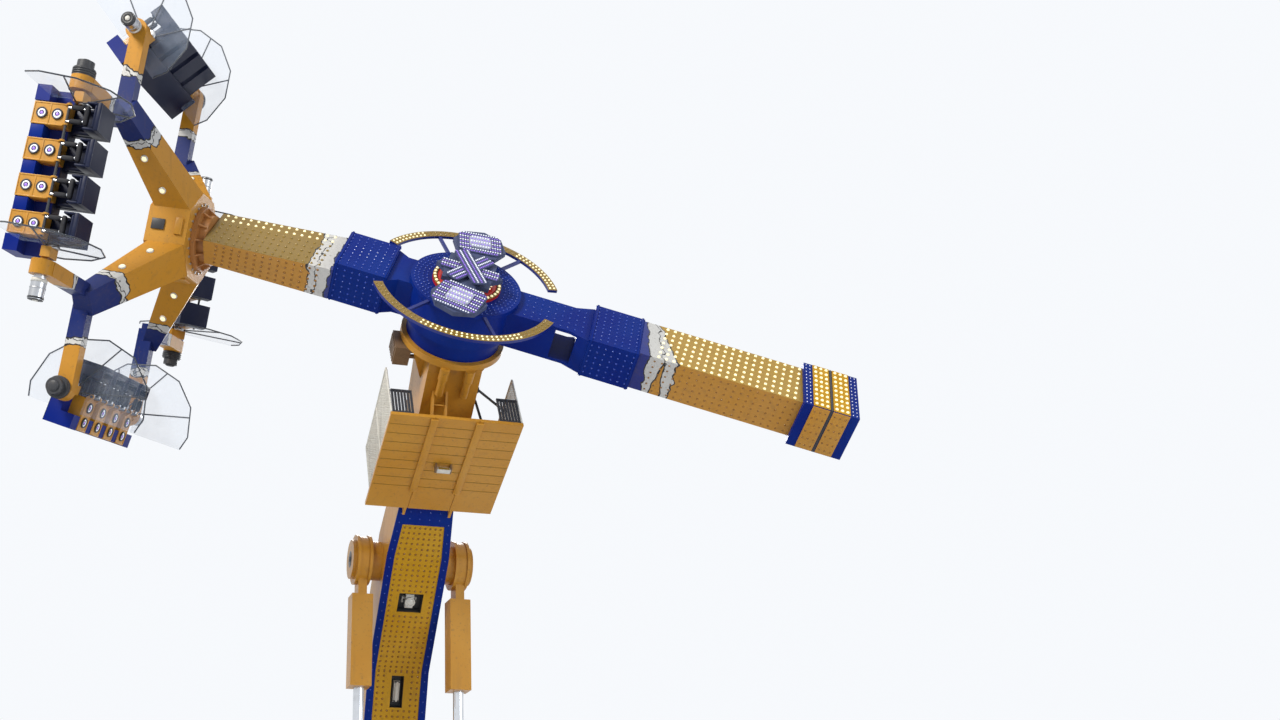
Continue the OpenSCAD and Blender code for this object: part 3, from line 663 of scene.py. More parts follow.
class Finish(Enum):
    """Every finish on the ride that has no place of its own."""

    YELLOW = Paint("yellow_paint", YELLOW, YELLOW_FADED)
    BLUE = Paint("blue_paint", BLUE, BLUE_FADED, **MATT_BLUE)
    GOLD = Paint("gold_sheet", GOLD, GOLD_FADED, roughness=0.45, dirt=0.25, coat=0.0)
    PANEL = Paint("panel_sheet", (0.52, 0.27, 0.014), (0.58, 0.33, 0.04), roughness=0.6, coat=0.0, shine=0.08)
    WHITE = Paint("white_paint", (0.66, 0.64, 0.58), (0.72, 0.71, 0.66), dirt=0.45, coat=0.0)
    DARK = Paint("dark_paint", (0.035, 0.037, 0.042), (0.06, 0.06, 0.066), dirt=0.4, coat=0.0)
    BROWN = Paint("brown_paint", (0.20, 0.12, 0.065), (0.28, 0.19, 0.11), dirt=0.6, coat=0.0)
    RUST = Paint("rust_paint", (0.36, 0.14, 0.035), (0.46, 0.22, 0.07), dirt=0.5)
    RED = Paint("red_enamel", (0.42, 0.018, 0.014), (0.5, 0.04, 0.03), roughness=0.25, dirt=0.1, shine=0.2)
    STEEL = Metal("bare_steel", (0.50, 0.51, 0.53), 0.38)
    CHROME = Metal("chrome_tube", (0.72, 0.74, 0.77), 0.12)
    DULL_CHROME = Metal("dull_chrome", (0.55, 0.56, 0.58), 0.28)
    SEAT = Plastic("seat_shell", (0.007, 0.011, 0.036), 0.4)
    PAD = Plastic("harness_pad", (0.016, 0.016, 0.02), 0.6, 260.0)
    BOARD = Plastic("lamp_board", (0.06, 0.075, 0.15), 0.5)
    BOARD_PALE = Plastic("lamp_board_pale", (0.40, 0.42, 0.52), 0.5)
    HOUSING = Plastic("lamp_housing", (0.62, 0.60, 0.55), 0.4)
    CLEAR = ClearSheet("clear_sheet")
    LIT = LampGlass("lamp_lit", (0.95, 0.84, 0.50), 0.9)
    AMBER = LampGlass("lamp_amber", (0.34, 0.22, 0.045))
    DIM = LampGlass("lamp_dim", (0.30, 0.13, 0.015))
    BLUE_CAP = LampGlass("lamp_blue_cap", (0.03, 0.07, 0.42))
    WHITE_DOT = LampGlass("led_white", (0.86, 0.88, 0.98), 0.55)
    VIOLET = LampGlass("led_violet", (0.30, 0.16, 0.75), 0.5)

    def material(self) -> bpy.types.Material:
        """The finish's material."""
        return self.value.build()


# Meshes

def in_scene(name: str, data: bpy.types.ID) -> bpy.types.Object:
    """A new object in the scene."""
    made = bpy.data.objects.new(name, data)
    bpy.context.scene.collection.objects.link(made)
    return made


def seated(piece: bpy.types.Object, body: str, slot: str, replaces: Sequence[str] = ()) -> bpy.types.Object:
    """Seats a finished piece on its body and hides the solids that it stands for.

    Args:
        piece: the mesh object, with its place in its mesh.
        body: the body that it rides on.
        slot: the record's material slot; not used.
        replaces: the solids that it stands for.

    Returns:
        The piece.
    """
    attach(piece, body)
    if replaces:
        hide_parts(*replaces)
    LOG.info("%s: %d faces on %s", piece.name, len(piece.data.polygons), body)
    return piece


class Shape:
    """A mesh in the making, in a frame of its own."""

    def __init__(self, name: str, place: Matrix = UPRIGHT) -> None:
        """Starts an empty shape with the piece's name, in the frame that its coordinates are in."""
        self.name = name
        self.place = place
        self.bm = bmesh.new()
        self.materials: list[bpy.types.Material] = []

    def _dress(self, faces: Iterable[bmesh.types.BMFace], finish: Finish, smooth: bool) -> None:
        """Gives faces their finish.

        Args:
            faces: the faces.
            finish: their finish.
            smooth: whether they are shaded smooth.
        """
        material = finish.material()
        if material not in self.materials:
            self.materials.append(material)
        for face in faces:
            face.material_index = self.materials.index(material)
            face.smooth = smooth

    def _ring(self, points: Iterable[Point], turn: Matrix = UPRIGHT) -> list[bmesh.types.BMVert]:
        """New corners at points of a further frame."""
        return [self.bm.verts.new(turn @ Vector(p)) for p in points]

    def _wall(self, rows: Sequence[Sequence[bmesh.types.BMVert]], sides: int) -> list[bmesh.types.BMFace]:
        """Faces between rings of corners, where a ring of one corner is a pole.

        Args:
            rows: the rings, from the bottom up.
            sides: how many corners a whole ring has.

        Returns:
            The faces.
        """
        faces = []
        for low, high in zip(rows, rows[1:]):
            for k in range(sides):
                corners = [low[k % len(low)], low[(k + 1) % len(low)], high[(k + 1) % len(high)],
                           high[k % len(high)]]
                faces.append(self.bm.faces.new(list(dict.fromkeys(corners))))
        return faces

    def box(self, low: Point, high: Point, finish: Finish, bevel: float = 0.0, turn: Matrix = UPRIGHT) -> None:
        """Adds a box, with rounded edges where bevel is over 0.

        Args:
            low: one of its corners.
            high: the corner across from it.
            finish: its finish.
            bevel: the width of its rounded edges.
            turn: a further frame inside this shape's.
        """
        before = set(self.bm.faces)
        size = [abs(c) for c in Vector(high) - Vector(low)]
        matrix = turn @ Matrix.Translation((Vector(low) + Vector(high)) / 2) @ Matrix.Diagonal((*size, 1.0))
        made = bmesh.ops.create_cube(self.bm, size=1.0, matrix=matrix)
        if bevel > 0.0:
            edges = list({e for v in made["verts"] for e in v.link_edges})
            bmesh.ops.bevel(self.bm, geom=edges, offset=bevel, segments=2, profile=0.6, affect="EDGES")
        self._dress(set(self.bm.faces) - before, finish, bevel > 0.0)

    def rod(self, start: Point, end: Point, radius: float, finish: Finish, sides: int = 20) -> None:
        """Adds a straight round bar.

        Args:
            start: the middle of its first end.
            end: the middle of its other end.
            radius: its radius.
            finish: its finish.
            sides: how many sides it has.
        """
        a, b = Vector(start), Vector(end)
        turn = (b - a).to_track_quat("Z", "Y").to_matrix().to_4x4()
        before = set(self.bm.faces)
        bmesh.ops.create_cone(self.bm, cap_ends=True, segments=sides, radius1=radius, radius2=radius,
                              depth=(b - a).length, matrix=Matrix.Translation((a + b) / 2) @ turn)
        new = set(self.bm.faces) - before
        self._dress(new, finish, True)
        for face in new:
            face.smooth = len(face.verts) != sides

    def pad(self, low: Point, high: Point, finish: Finish, square: float = 0.45, rings: int = 12,
            sides: int = 20) -> None:
        """Adds a crowned cushion that fills a box, pulled in at its edges.

        Args:
            low: the box's lowest corner.
            high: its highest corner.
            finish: the cushion's finish.
            square: 1 for an ellipsoid, and towards 0 for a box.
            rings: steps from pole to pole.
            sides: steps around.
        """
        def power(value: float) -> float:
            """A value drawn towards a box's side, with its sign kept."""
            return math.copysign(abs(value) ** square, value)

        middle = [(a + b) / 2 for a, b in zip(low, high)]
        half = [(b - a) / 2 for a, b in zip(low, high)]
        rows = []
        for i in range(rings + 1):
            up = math.pi * (i / rings - 0.5)
            turns = [2 * math.pi * j / sides for j in range(1 if i in (0, rings) else sides)]
            flat, tall = power(math.cos(up)), power(math.sin(up))
            units = [(flat * power(math.cos(t)), flat * power(math.sin(t)), tall) for t in turns]
            rows.append(self._ring([m + h * u for m, h, u in zip(middle, half, unit)] for unit in units))
        self._dress(self._wall(rows, sides), finish, True)

    def prism(self, outline: Profile, low: float, high: float, finish: Finish) -> None:
        """Adds an outline in X and Y drawn out along Z.

        Args:
            outline: its corners.
            low: where it starts along Z.
            high: where it ends.
            finish: its finish.
        """
        rows = [self._ring((x, y, z) for x, y in outline) for z in (low, high)]
        faces = [self.bm.faces.new(row) for row in rows] + self._wall(rows, len(outline))
        bmesh.ops.recalc_face_normals(self.bm, faces=faces)
        self._dress(faces, finish, False)

    def lathe(self, profile: Profile, finish: Finish, turn: Matrix = UPRIGHT, sides: int = 32) -> None:
        """Adds a turned form about Z, closed on its axis.

        Args:
            profile: radius and height of each ring, from the bottom up.
            finish: its finish.
            turn: a further frame inside this shape's.
            sides: how many sides it has.
        """
        rows = []
        for radius, height in profile:
            turns = [2 * math.pi * k / sides for k in range(sides if radius > 0.0 else 1)]
            rows.append(self._ring(((radius * math.cos(a), radius * math.sin(a), height) for a in turns), turn))
        faces = self._wall(rows, sides)
        for row, way in ((rows[0], -1), (rows[-1], 1)):
            if len(row) > 1:
                faces.append(self.bm.faces.new(row[::way]))
        bmesh.ops.recalc_face_normals(self.bm, faces=faces)
        self._dress(faces, finish, True)

    def finish(self, body: str, slot: str, replaces: Sequence[str] = ()) -> bpy.types.Object:
        """Makes the object, with its place in its mesh, and seats it as seated does.

        Args:
            body: the body that it rides on.
            slot: the record's material slot.
            replaces: the solids that it stands for.

        Returns:
            The piece.
        """
        mesh = bpy.data.meshes.new(self.name)
        self.bm.to_mesh(mesh)
        self.bm.free()
        mesh.transform(self.place)
        for material in self.materials:
            mesh.materials.append(material)
        return seated(in_scene(self.name, mesh), body, slot, replaces)


# Geometry node trees

class Stud(Enum):
    """The shape that a field of studs repeats, by its number of sides."""

    DOME = 8
    HEX = 6
    CAP = 14

    def fill(self, t: Tree, given: Node, out: Node) -> None:
        """Sets a stud on each point, along the point's own direction.

        Args:
            t: the group's tree.
            given: the group's input node.
            out: the group's output node.
        """
        if self is Stud.DOME:
            stud = t.add("GeometryNodeMeshUVSphere", Segments=self.value, Rings=4, Radius=1.0)
        else:
            stud = t.add("GeometryNodeMeshCylinder", Vertices=self.value, Radius=1.0, Depth=2.0)
        radius = given.outputs["Radius"]
        size = t.add("ShaderNodeCombineXYZ", radius, radius, given.outputs["Height"])
        sized = t.add("GeometryNodeTransform", stud.outputs["Mesh"], Scale=size.outputs[0])
        way = t.add("GeometryNodeInputNamedAttribute", data_type="FLOAT_VECTOR", Name="out")
        turn = t.add("FunctionNodeAlignRotationToVector", axis="Z", Vector=way.outputs["Attribute"])
        spread = t.add("GeometryNodeInstanceOnPoints", given.outputs["Geometry"], Instance=sized.outputs[0],
                       Rotation=turn.outputs[0])
        _close(t, given, out, spread.outputs[0], self is Stud.DOME)


def _fill_tubes(t: Tree, given: Node, out: Node) -> None:
    """Draws a round tube along each line of edges.

    Args:
        t: the group's tree.
        given: the group's input node.
        out: the group's output node.
    """
    line = t.add("GeometryNodeMeshToCurve", given.outputs["Geometry"])
    round_ = t.add("GeometryNodeCurvePrimitiveCircle", Resolution=given.outputs["Sides"],
                   Radius=given.outputs["Radius"])
    sweep = t.add("GeometryNodeCurveToMesh", line.outputs[0], Profile_Curve=round_.outputs[0], Fill_Caps=True)
    _close(t, given, out, sweep.outputs[0], True)


def _close(t: Tree, given: Node, out: Node, made: Socket, smooth: bool) -> None:
    """Realizes the instances, shades them and sets their material.

    Args:
        t: the group's tree.
        given: the group's input node.
        out: the group's output node.
        made: the geometry so far.
        smooth: whether faces are shaded smooth.
    """
    real = t.add("GeometryNodeRealizeInstances", made)
    shade = t.add("GeometryNodeSetShadeSmooth", real.outputs[0], Shade_Smooth=smooth)
    dress = t.add("GeometryNodeSetMaterial", shade.outputs[0], Material=given.outputs["Material"])
    t.feed(out, Geometry=dress.outputs[0])


def grown(name: str, group: bpy.types.NodeTree, mesh: bpy.types.Mesh, place: Matrix,
          values: dict[str, object]) -> bpy.types.Object:
    """Runs a geometry tree on a mesh and keeps the result as a plain mesh.

    Args:
        name: the piece's name.
        group: the tree.
        mesh: what the tree starts from.
        place: the frame that the mesh is in.
        values: the tree's inputs by name.

    Returns:
        The piece, at the origin, with its place in its mesh.
    """
    holder = in_scene(name + "_source", mesh)
    modifier = holder.modifiers.new("repeat", "NODES")
    modifier.node_group = group
    for item in group.interface.items_tree:
        if item.in_out == "INPUT" and item.name in values:
            modifier[item.identifier] = values[item.name]
    graph = bpy.context.evaluated_depsgraph_get()
    graph.update()
    made = bpy.data.meshes.new_from_object(holder.evaluated_get(graph), depsgraph=graph)
    made.name = name
    if "out" in made.attributes:
        made.attributes.remove(made.attributes["out"])
    made.transform(place)
    holder.modifiers.remove(modifier)
    bpy.data.objects.remove(holder)
    return in_scene(name, made)


def stud_field(name: str, points: Studded, size: tuple[float, float], finish: Finish,
               kind: Stud = Stud.DOME) -> bpy.types.Object:
    """Studs, lamps or bolts at points, each along its own direction.

    Args:
        name: the piece's name.
        points: place and direction of each stud.
        size: the stud's radius, and how far it stands out on either side of its point.
        finish: its finish.
        kind: its shape.

    Returns:
        The piece.
    """
    mesh = bpy.data.meshes.new(name + "_points")
    mesh.from_pydata([tuple(p) for p, _ in points], [], [])
    way = mesh.attributes.new("out", "FLOAT_VECTOR", "POINT")
    way.data.foreach_set("vector", [c for _, out in points for c in out])
    group = node_group("Geometry", f"studs_{kind.name.lower()}", "Geometry Radius Height Material", "Geometry",
                       kind.fill)
    return grown(name, group, mesh, UPRIGHT,
                 {"Radius": size[0], "Height": size[1], "Material": finish.material()})


def tube_lines(name: str, place: Matrix, lines: Sequence[Sequence[Sequence[float]]], radius: float,
               finish: Finish, sides: int = 12) -> bpy.types.Object:
    """Round tubes along lines of points.

    Args:
        name: the piece's name.
        place: the frame of the points.
        lines: the points of each tube.
        radius: the tube's radius.
        finish: its finish.
        sides: how many sides it has.

    Returns:
        The piece.
    """
    corners: list[tuple[float, ...]] = []
    edges: list[tuple[int, int]] = []
    for line in lines:
        first = len(corners)
        corners.extend(tuple(p) for p in line)
        edges.extend((first + k, first + k + 1) for k in range(len(line) - 1))
    mesh = bpy.data.meshes.new(name + "_lines")
    mesh.from_pydata(corners, edges, [])
    group = node_group("Geometry", "tubes", "Geometry Radius Sides Material", "Geometry", _fill_tubes)
    return grown(name, group, mesh, place, {"Radius": radius, "Sides": sides, "Material": finish.material()})


# Points and lines

def rounded(corners: Sequence[Point], radius: float, steps: int = 4) -> list[Vector]:
    """A line through corners, with each corner turned on a smooth bend.

    Args:
        corners: the line's corners.
        radius: how far before each corner the bend starts.
        steps: how many pieces a bend has.

    Returns:
        The points of the line.
    """
    points = [Vector(c) for c in corners]
    line = [points[0]]
    for before, corner, after in zip(points, points[1:], points[2:]):
        start, end = (corner + (p - corner).normalized() * min(radius, (p - corner).length / 2)
                      for p in (before, after))
        for k in range(steps + 1):
            t = k / steps
            line.append((1 - t) ** 2 * start + 2 * t * (1 - t) * corner + t * t * end)
    return line + [points[-1]]


def spaced(low: float, high: float, count: int) -> list[float]:
    """Even steps from low to high, both among them."""
    return [low + (high - low) * k / (count - 1) for k in range(count)]


def between(ends: tuple[float, float], share: float) -> float:
    """A value a share of the way from the first end to the second."""
    return ends[0] + (ends[1] - ends[0]) * share


def facing(face: Matrix) -> Vector:
    """The direction out of a face."""
    return face.to_3x3() @ Vector((0, 0, 1))


def grid(face: Matrix, xs: Sequence[float], ys: Sequence[float], slant: float = 0.0) -> Studded:
    """Points in rows and columns on a face, with its direction. A column may lean by slant for each unit up."""
    return [(face @ Vector((x + slant * y, y, 0)), facing(face)) for x in xs for y in ys]


def ring(face: Matrix, radius: float, count: int, first: float = 0.0, last: float = 360.0) -> Studded:
    """Points on a circle or an arc of a face.

    Args:
        face: the face's frame, with Z out of it.
        radius: the circle's radius.
        count: how many points there are.
        first: the first point's angle in degrees.
        last: where the arc ends; a full turn leaves out its last point.

    Returns:
        The points with the face's direction.
    """
    steps = count if last - first >= 360.0 else count - 1
    turns = [math.radians(first + (last - first) * k / steps) for k in range(count)]
    return [(face @ Vector((radius * math.cos(a), radius * math.sin(a), 0)), facing(face)) for a in turns]


# Sub-assemblies

# Radius and height of the lamps and bolts
SHEET_CAP = (0.024, 0.020)
BORDER_CAP = (0.018, 0.014)
PIN_BOLT = (0.024, 0.020)
SMALL_CAP = (0.020, 0.016)
SIDE_CAP = (0.020, 0.014)
LIT_CAP = (0.031, 0.026)
BOX_LIGHT = (0.012, 0.020)
EDGE_LIGHT = (0.010, 0.014)
BOOM_LIT = (0.030, 0.026)
BOOM_DIM = (0.028, 0.024)
BOOM_SIDE = (0.026, 0.020)
ARC_CAP = (0.022, 0.018)
BOSS_CAP = (0.030, 0.024)
SIGN_CAP = (0.014, 0.010)
HUB_BOLT = (0.026, 0.022)


@dataclass
class Assembly:
    """A sub-assembly that rides on one body."""

    body: str

    def dress(self, look: Finish | Look, nodes: str) -> None:
        """Gives solids their finish.

        Args:
            look: the finish.
            nodes: the solids' names, with a space between them.
        """
        material = look.material() if isinstance(look, Finish) else look.build()
        for name in nodes.split():
            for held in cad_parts[name].material_slots:
                held.material = material
            LOG.info("%s: dressed with %s", name, material.name)

    def studs(self, name: str, points: Studded, size: tuple[float, float], finish: Finish, slot: str,
              kind: Stud = Stud.DOME) -> None:
        """Adds a field of lamps or bolts.

        Args:
            name: the piece's name.
            points: place and direction of each.
            size: radius and height of each.
            finish: their finish.
            slot: the record's material slot.
            kind: their shape.
        """
        seated(stud_field(name, points, size, finish, kind), self.body, slot)

    def build(self) -> None:
        """Builds and dresses the sub-assembly."""
        raise NotImplementedError


@dataclass
class GroundFrame(Assembly):
    """Chassis, outriggers and jacks."""

    body: str = "base_mast"

    def build(self) -> None:
        """Dresses the frame on the ground."""
        self.dress(Finish.YELLOW, "chassis outriggers mast_foot")
        self.dress(Finish.STEEL, "jack_feet")


# Mast

SPOT_BODY: Profile = ((0.0, 0.0), (0.085, 0.0), (0.10, 0.03), (0.105, 0.075), (0.095, 0.085), (0.085, 0.07),
                      (0.0, 0.062))
SPOT_GLASS: Profile = ((0.084, 0.0), (0.06, 0.014), (0.0, 0.022))
PIN_CAP: Profile = ((0.20, 0.0), (0.20, 0.02), (0.15, 0.035), (0.06, 0.035), (0.05, 0.05), (0.0, 0.05))


@dataclass(frozen=True)
class Pocket:
    """An opening in the lamp sheet, by the middle's height above the kink and half its width and height."""

    lining: str
    lean: float
    at: float
    half: float
    rise: float
    rim: float = 0.05

    def clear(self, x: float, y: float) -> bool:
        """Whether a lamp cap at a place on the sheet lies clear of the opening."""
        return abs(x) > self.half + self.rim or abs(y - self.at) > self.rise + self.rim


@dataclass
class Mast(Assembly):
    """The leaning mast with its lamp sheet, trunnions and struts."""

    body: str = "base_mast"
    window: Pocket = Pocket("window_lining", PLACES.upper_lean, 1.66, 0.25, 0.21)
    slot: Pocket = Pocket("slot_lining", PLACES.lower_lean, -0.53, 0.13, 0.32)
    pocket_d: float = 0.18
    lining_t: float = 0.004
    lining_gap: float = 0.001
    sheet_t: float = 0.025
    sheet_half: float = 0.48
    sheet_upper: tuple[float, float] = (0.1, 3.3)
    sheet_lower: tuple[float, float] = (-4.05, -0.1)
    taper_from: float = 2.67
    taper_len: float = 1.08
    taper_in: float = 0.085
    cap_pitch: float = 0.115
    cap_columns: int = 8
    cap_inset: float = 0.07
    border_t: float = 0.04
    border_upper: tuple[float, float] = (0.1, 3.6)
    border_lower: tuple[float, float] = (-4.2, -0.1)
    border_pitch: float = 0.2
    border_off: float = 0.075
    border_head: tuple[float, float] = (3.5, 3.65)
    head_half: float = 0.3
    spot_depth: float = -0.075
    glass_depth: float = -0.012
    bracket_x: float = 0.115
    tube_depth: float = -0.015
    tube_half: float = 0.2
    tube_r: float = 0.035
    trunnion_at: float = 2.25
    trunnion_x: float = 1.15
    pin_end: float = 0.05
    bolt_ring: float = 0.33

    def build(self) -> None:
        """Builds the lamps and bolts and dresses the solids."""
        self.dress(Finish.YELLOW, "mast_lower mast_upper mast_neck trunnions strut_heads strut_barrels slew_flange")
        self.dress(Finish.CHROME, "strut_rods")
        self.dress(Finish.BLUE, "decor_border")
        self.dress(Finish.PANEL, "lamp_panel")
        self.dress(Finish.HOUSING, "lamp_units")
        self._sheet_lamps()
        self._border_lamps()
        for pocket in (self.window, self.slot):
            self._lining(pocket)
        self._spotlight()
        self._tube_lamp()
        self._trunnion_ends()

    def _half_width(self, y: float) -> float:
        """Half the sheet's width at a height above the kink."""
        return self.sheet_half - self.taper_in * max(0.0, min(1.0, (y - self.taper_from) / self.taper_len))

    def _sheet_lamps(self) -> None:
        """Rows of caps over the gold sheet on both mast faces."""
        points = []
        for pocket, (low, high) in ((self.window, self.sheet_upper), (self.slot, self.sheet_lower)):
            face = PLACES.face(pocket.lean, self.sheet_t)
            for y in spaced(low, high, round((high - low) / self.cap_pitch) + 1):
                reach = self._half_width(y) - self.cap_inset
                xs = [x for x in spaced(-reach, reach, self.cap_columns) if pocket.clear(x, y)]
                points.extend(grid(face, xs, [y]))
        self.studs("panel_lamps", points, SHEET_CAP, Finish.DIM, "gold_panel")

    def _border_lamps(self) -> None:
        """Small caps along the blue border."""
        points = []
        for lean, (low, high) in ((PLACES.upper_lean, self.border_upper), (PLACES.lower_lean, self.border_lower)):
            face = PLACES.face(lean, self.border_t)
            for y in spaced(low, high, round((high - low) / self.border_pitch) + 1):
                reach = self._half_width(y) + self.border_off
                points.extend(grid(face, [-reach, reach], [y]))
        head = PLACES.face(PLACES.upper_lean, self.border_t)
        points.extend(grid(head, spaced(-self.head_half, self.head_half, 4), self.border_head))
        self.studs("border_lamps", points, BORDER_CAP, Finish.BLUE_CAP, "blue_paint")

    def _lining(self, pocket: Pocket) -> None:
        """Thin dark walls and a back inside an opening.

        Args:
            pocket: the opening.
        """
        shape = Shape(pocket.lining, PLACES.face(pocket.lean))
        x, y = pocket.half - self.lining_gap, pocket.rise - self.lining_gap
        at, low, skin = pocket.at, 2 * self.lining_gap - self.pocket_d, self.lining_t
        shape.box((-x, at - y, low), (x, at + y, low + skin), Finish.DARK)
        for side in SIDES:
            shape.box((side * x, at - y, low), (side * (x - skin), at + y, 0.0), Finish.DARK)
            shape.box((-x, at + side * y, low), (x, at + side * (y - skin), 0.0), Finish.DARK)
        shape.finish(self.body, "dark_paint")

    def _spotlight(self) -> None:
        """A round spotlight between two brackets in the window."""
        at, face = self.window.at, PLACES.face(self.window.lean)
        shape = Shape("window_spotlight", face)
        shape.lathe(SPOT_BODY, Finish.HOUSING, moved(y=at, z=self.spot_depth))
        for x in (-self.bracket_x, self.bracket_x):
            shape.box((x - 0.01, at - 0.03, -0.14), (x + 0.01, at + 0.03, 0.0), Finish.DARK, 0.003)
        shape.finish(self.body, "pale_plastic")
        glass = Shape("spotlight_glass", face)
        glass.lathe(SPOT_GLASS, Finish.HOUSING, moved(y=at, z=self.glass_depth))
        glass.finish(self.body, "pale_plastic")

    def _tube_lamp(self) -> None:
        """A tube lamp with an end cap at either end in the slot."""
        at, depth = self.slot.at, self.tube_depth
        shape = Shape("slot_lamp", PLACES.face(self.slot.lean))
        shape.rod((0, at - self.tube_half, depth), (0, at + self.tube_half, depth), self.tube_r, Finish.HOUSING)
        for y in (at - 0.205, at + 0.175):
            shape.box((-0.05, y, -0.06), (0.05, y + 0.03, 0.015), Finish.DARK, 0.004)
        shape.finish(self.body, "pale_plastic")

    def _trunnion_ends(self) -> None:
        """Bolt circles on the outer faces of the trunnion rims, and their end caps."""
        up, _ = PLACES.directions(PLACES.upper_lean)
        centre = PLACES.kink() + self.trunnion_at * up
        points, caps = [], Shape("trunnion_caps")
        for side in SIDES:
            rim, end = (face_frame(UPRIGHT, (side * (self.trunnion_x + off), centre.y, centre.z), (0, 1, 0),
                                   (side, 0, 0)) for off in (0.0, self.pin_end))
            points.extend(ring(rim, self.bolt_ring, 12))
            caps.lathe(PIN_CAP, Finish.DARK, end)
        self.studs("trunnion_bolts", points, PIN_BOLT, Finish.STEEL, "steel", Stud.HEX)
        caps.finish(self.body, "dark_paint")


# Platform

@dataclass
class Platform(Assembly):
    """The service platform under the hub, with its fences and fittings."""

    body: str = "base_mast"
    width: float = 2.51
    depth: float = 2.10
    floor_t: float = 0.07
    fence_h: float = 1.24
    fence_drop: float = 0.16
    fence_in: float = 0.02
    tube_r: float = 0.022
    wire_r: float = 0.0055
    mesh: float = 0.06
    wires: range = range(-26, 62)
    shortest: float = 0.02
    lamp_y: float = 1.25
    channels: tuple[float, float] = (-0.50, 0.36)
    channel_w: float = 0.14
    planks: int = 9

    def build(self) -> None:
        """Builds the fences and lamp and dresses the solids."""
        self.dress(Finish.YELLOW, "platform_floor hub_motors service_ladder")
        self.dress(Finish.DARK, "front_fences stay_tubes")
        self.dress(Finish.BROWN, "valve_box louvre_box")
        self._side_fences()
        self._underside()

    def _fence_outline(self) -> Profile:
        """Corners of a side fence, back along the floor and up."""
        near, back, top = self.fence_in, self.depth - self.fence_in, self.fence_h - self.fence_in
        return [(near, near), (0.08, top), (back, top - self.fence_drop), (back, near)]

    def _clip(self, start: Vector, step: Vector) -> Optional[tuple[Vector, Vector]]:
        """The part of a slanted line that lies inside the fence's outline.

        Args:
            start: a point of the line.
            step: its direction, level with none of the fence's edges.

        Returns:
            The two ends, or None where it misses.
        """
        low, high = -math.inf, math.inf
        corners = [Vector(c) for c in self._fence_outline()]
        for a, b in zip(corners, corners[1:] + corners[:1]):
            inward = Vector((b.y - a.y, a.x - b.x))
            rate = inward.dot(step)
            cut = inward.dot(a - start) / rate
            if rate > 0:
                low = max(low, cut)
            else:
                high = min(high, cut)
        return (start + low * step, start + high * step) if high - low > self.shortest else None

    def _side_fences(self) -> None:
        """Tube frames filled with a diamond mesh of wire."""
        frames, wires = [], []
        for side in SIDES:
            x = side * (self.width / 2 - self.fence_in)
            outline = [(x, y, z) for y, z in self._fence_outline()]
            frames.append(outline + outline[:2])
            frames.append([(x, self.depth / 2, z) for z in (self.fence_in, self.fence_h - 0.11)])
            for lean in SIDES:
                step = Vector((1.0, lean)).normalized()
                for k in self.wires:
                    ends = self._clip(Vector((k * self.mesh, 0.6)), step)
                    if ends:
                        wires.append([(x, p.x, p.y) for p in ends])
        for name, lines, radius, sides in (("fence_frames", frames, self.tube_r, 10),
                                           ("fence_mesh", wires, self.wire_r, 4)):
            piece = tube_lines(name, PLACES.platform(), lines, radius, Finish.WHITE, sides)
            seated(piece, self.body, "white_paint", ("side_fences",))

    def _underside(self) -> None:
        """A small lamp on two brackets, two channels and the plank lines below the floor."""
        shape = Shape("floor_lamp", PLACES.platform())
        under, y, edge = -self.floor_t, self.lamp_y, self.width / 2 - 0.02
        for x in (-0.16, 0.13):
            shape.box((x, y - 0.07, under - 0.13), (x + 0.03, y + 0.07, under), Finish.BROWN, 0.004)
        shape.box((-0.13, y - 0.05, under - 0.15), (0.13, y + 0.05, under - 0.07), Finish.HOUSING, 0.012)
        shape.box((-0.11, y - 0.055, under - 0.135), (0.11, y - 0.048, under - 0.085), Finish.AMBER, 0.002)
        for x in self.channels:
            shape.box((x, 0.03, under - 0.04), (x + self.channel_w, self.depth - 0.12, under), Finish.YELLOW, 0.006)
        for k in range(1, self.planks):
            at = k * self.depth / self.planks
            shape.box((-edge, at, under - 0.006), (edge, at + 0.007, under), Finish.GOLD)
        shape.finish(self.body, "pale_plastic")


# Swing arm

BOSS_FACE: Profile = ((0.56, -0.004), (0.56, 0.012), (0.50, 0.03), (0.34, 0.045), (0.185, 0.05))
BOSS_RIM: Profile = ((0.645, -0.004), (0.648, 0.018), (0.575, 0.022), (0.570, -0.004))
CUT_CORNERS = ((-1, -1, 0, 1), (-1, -1, 1, 0), (1, -1, 1, 0), (1, -1, 0, 1),
               (1, 1, 0, 1), (1, 1, 1, 0), (-1, 1, 1, 0), (-1, 1, 0, 1))


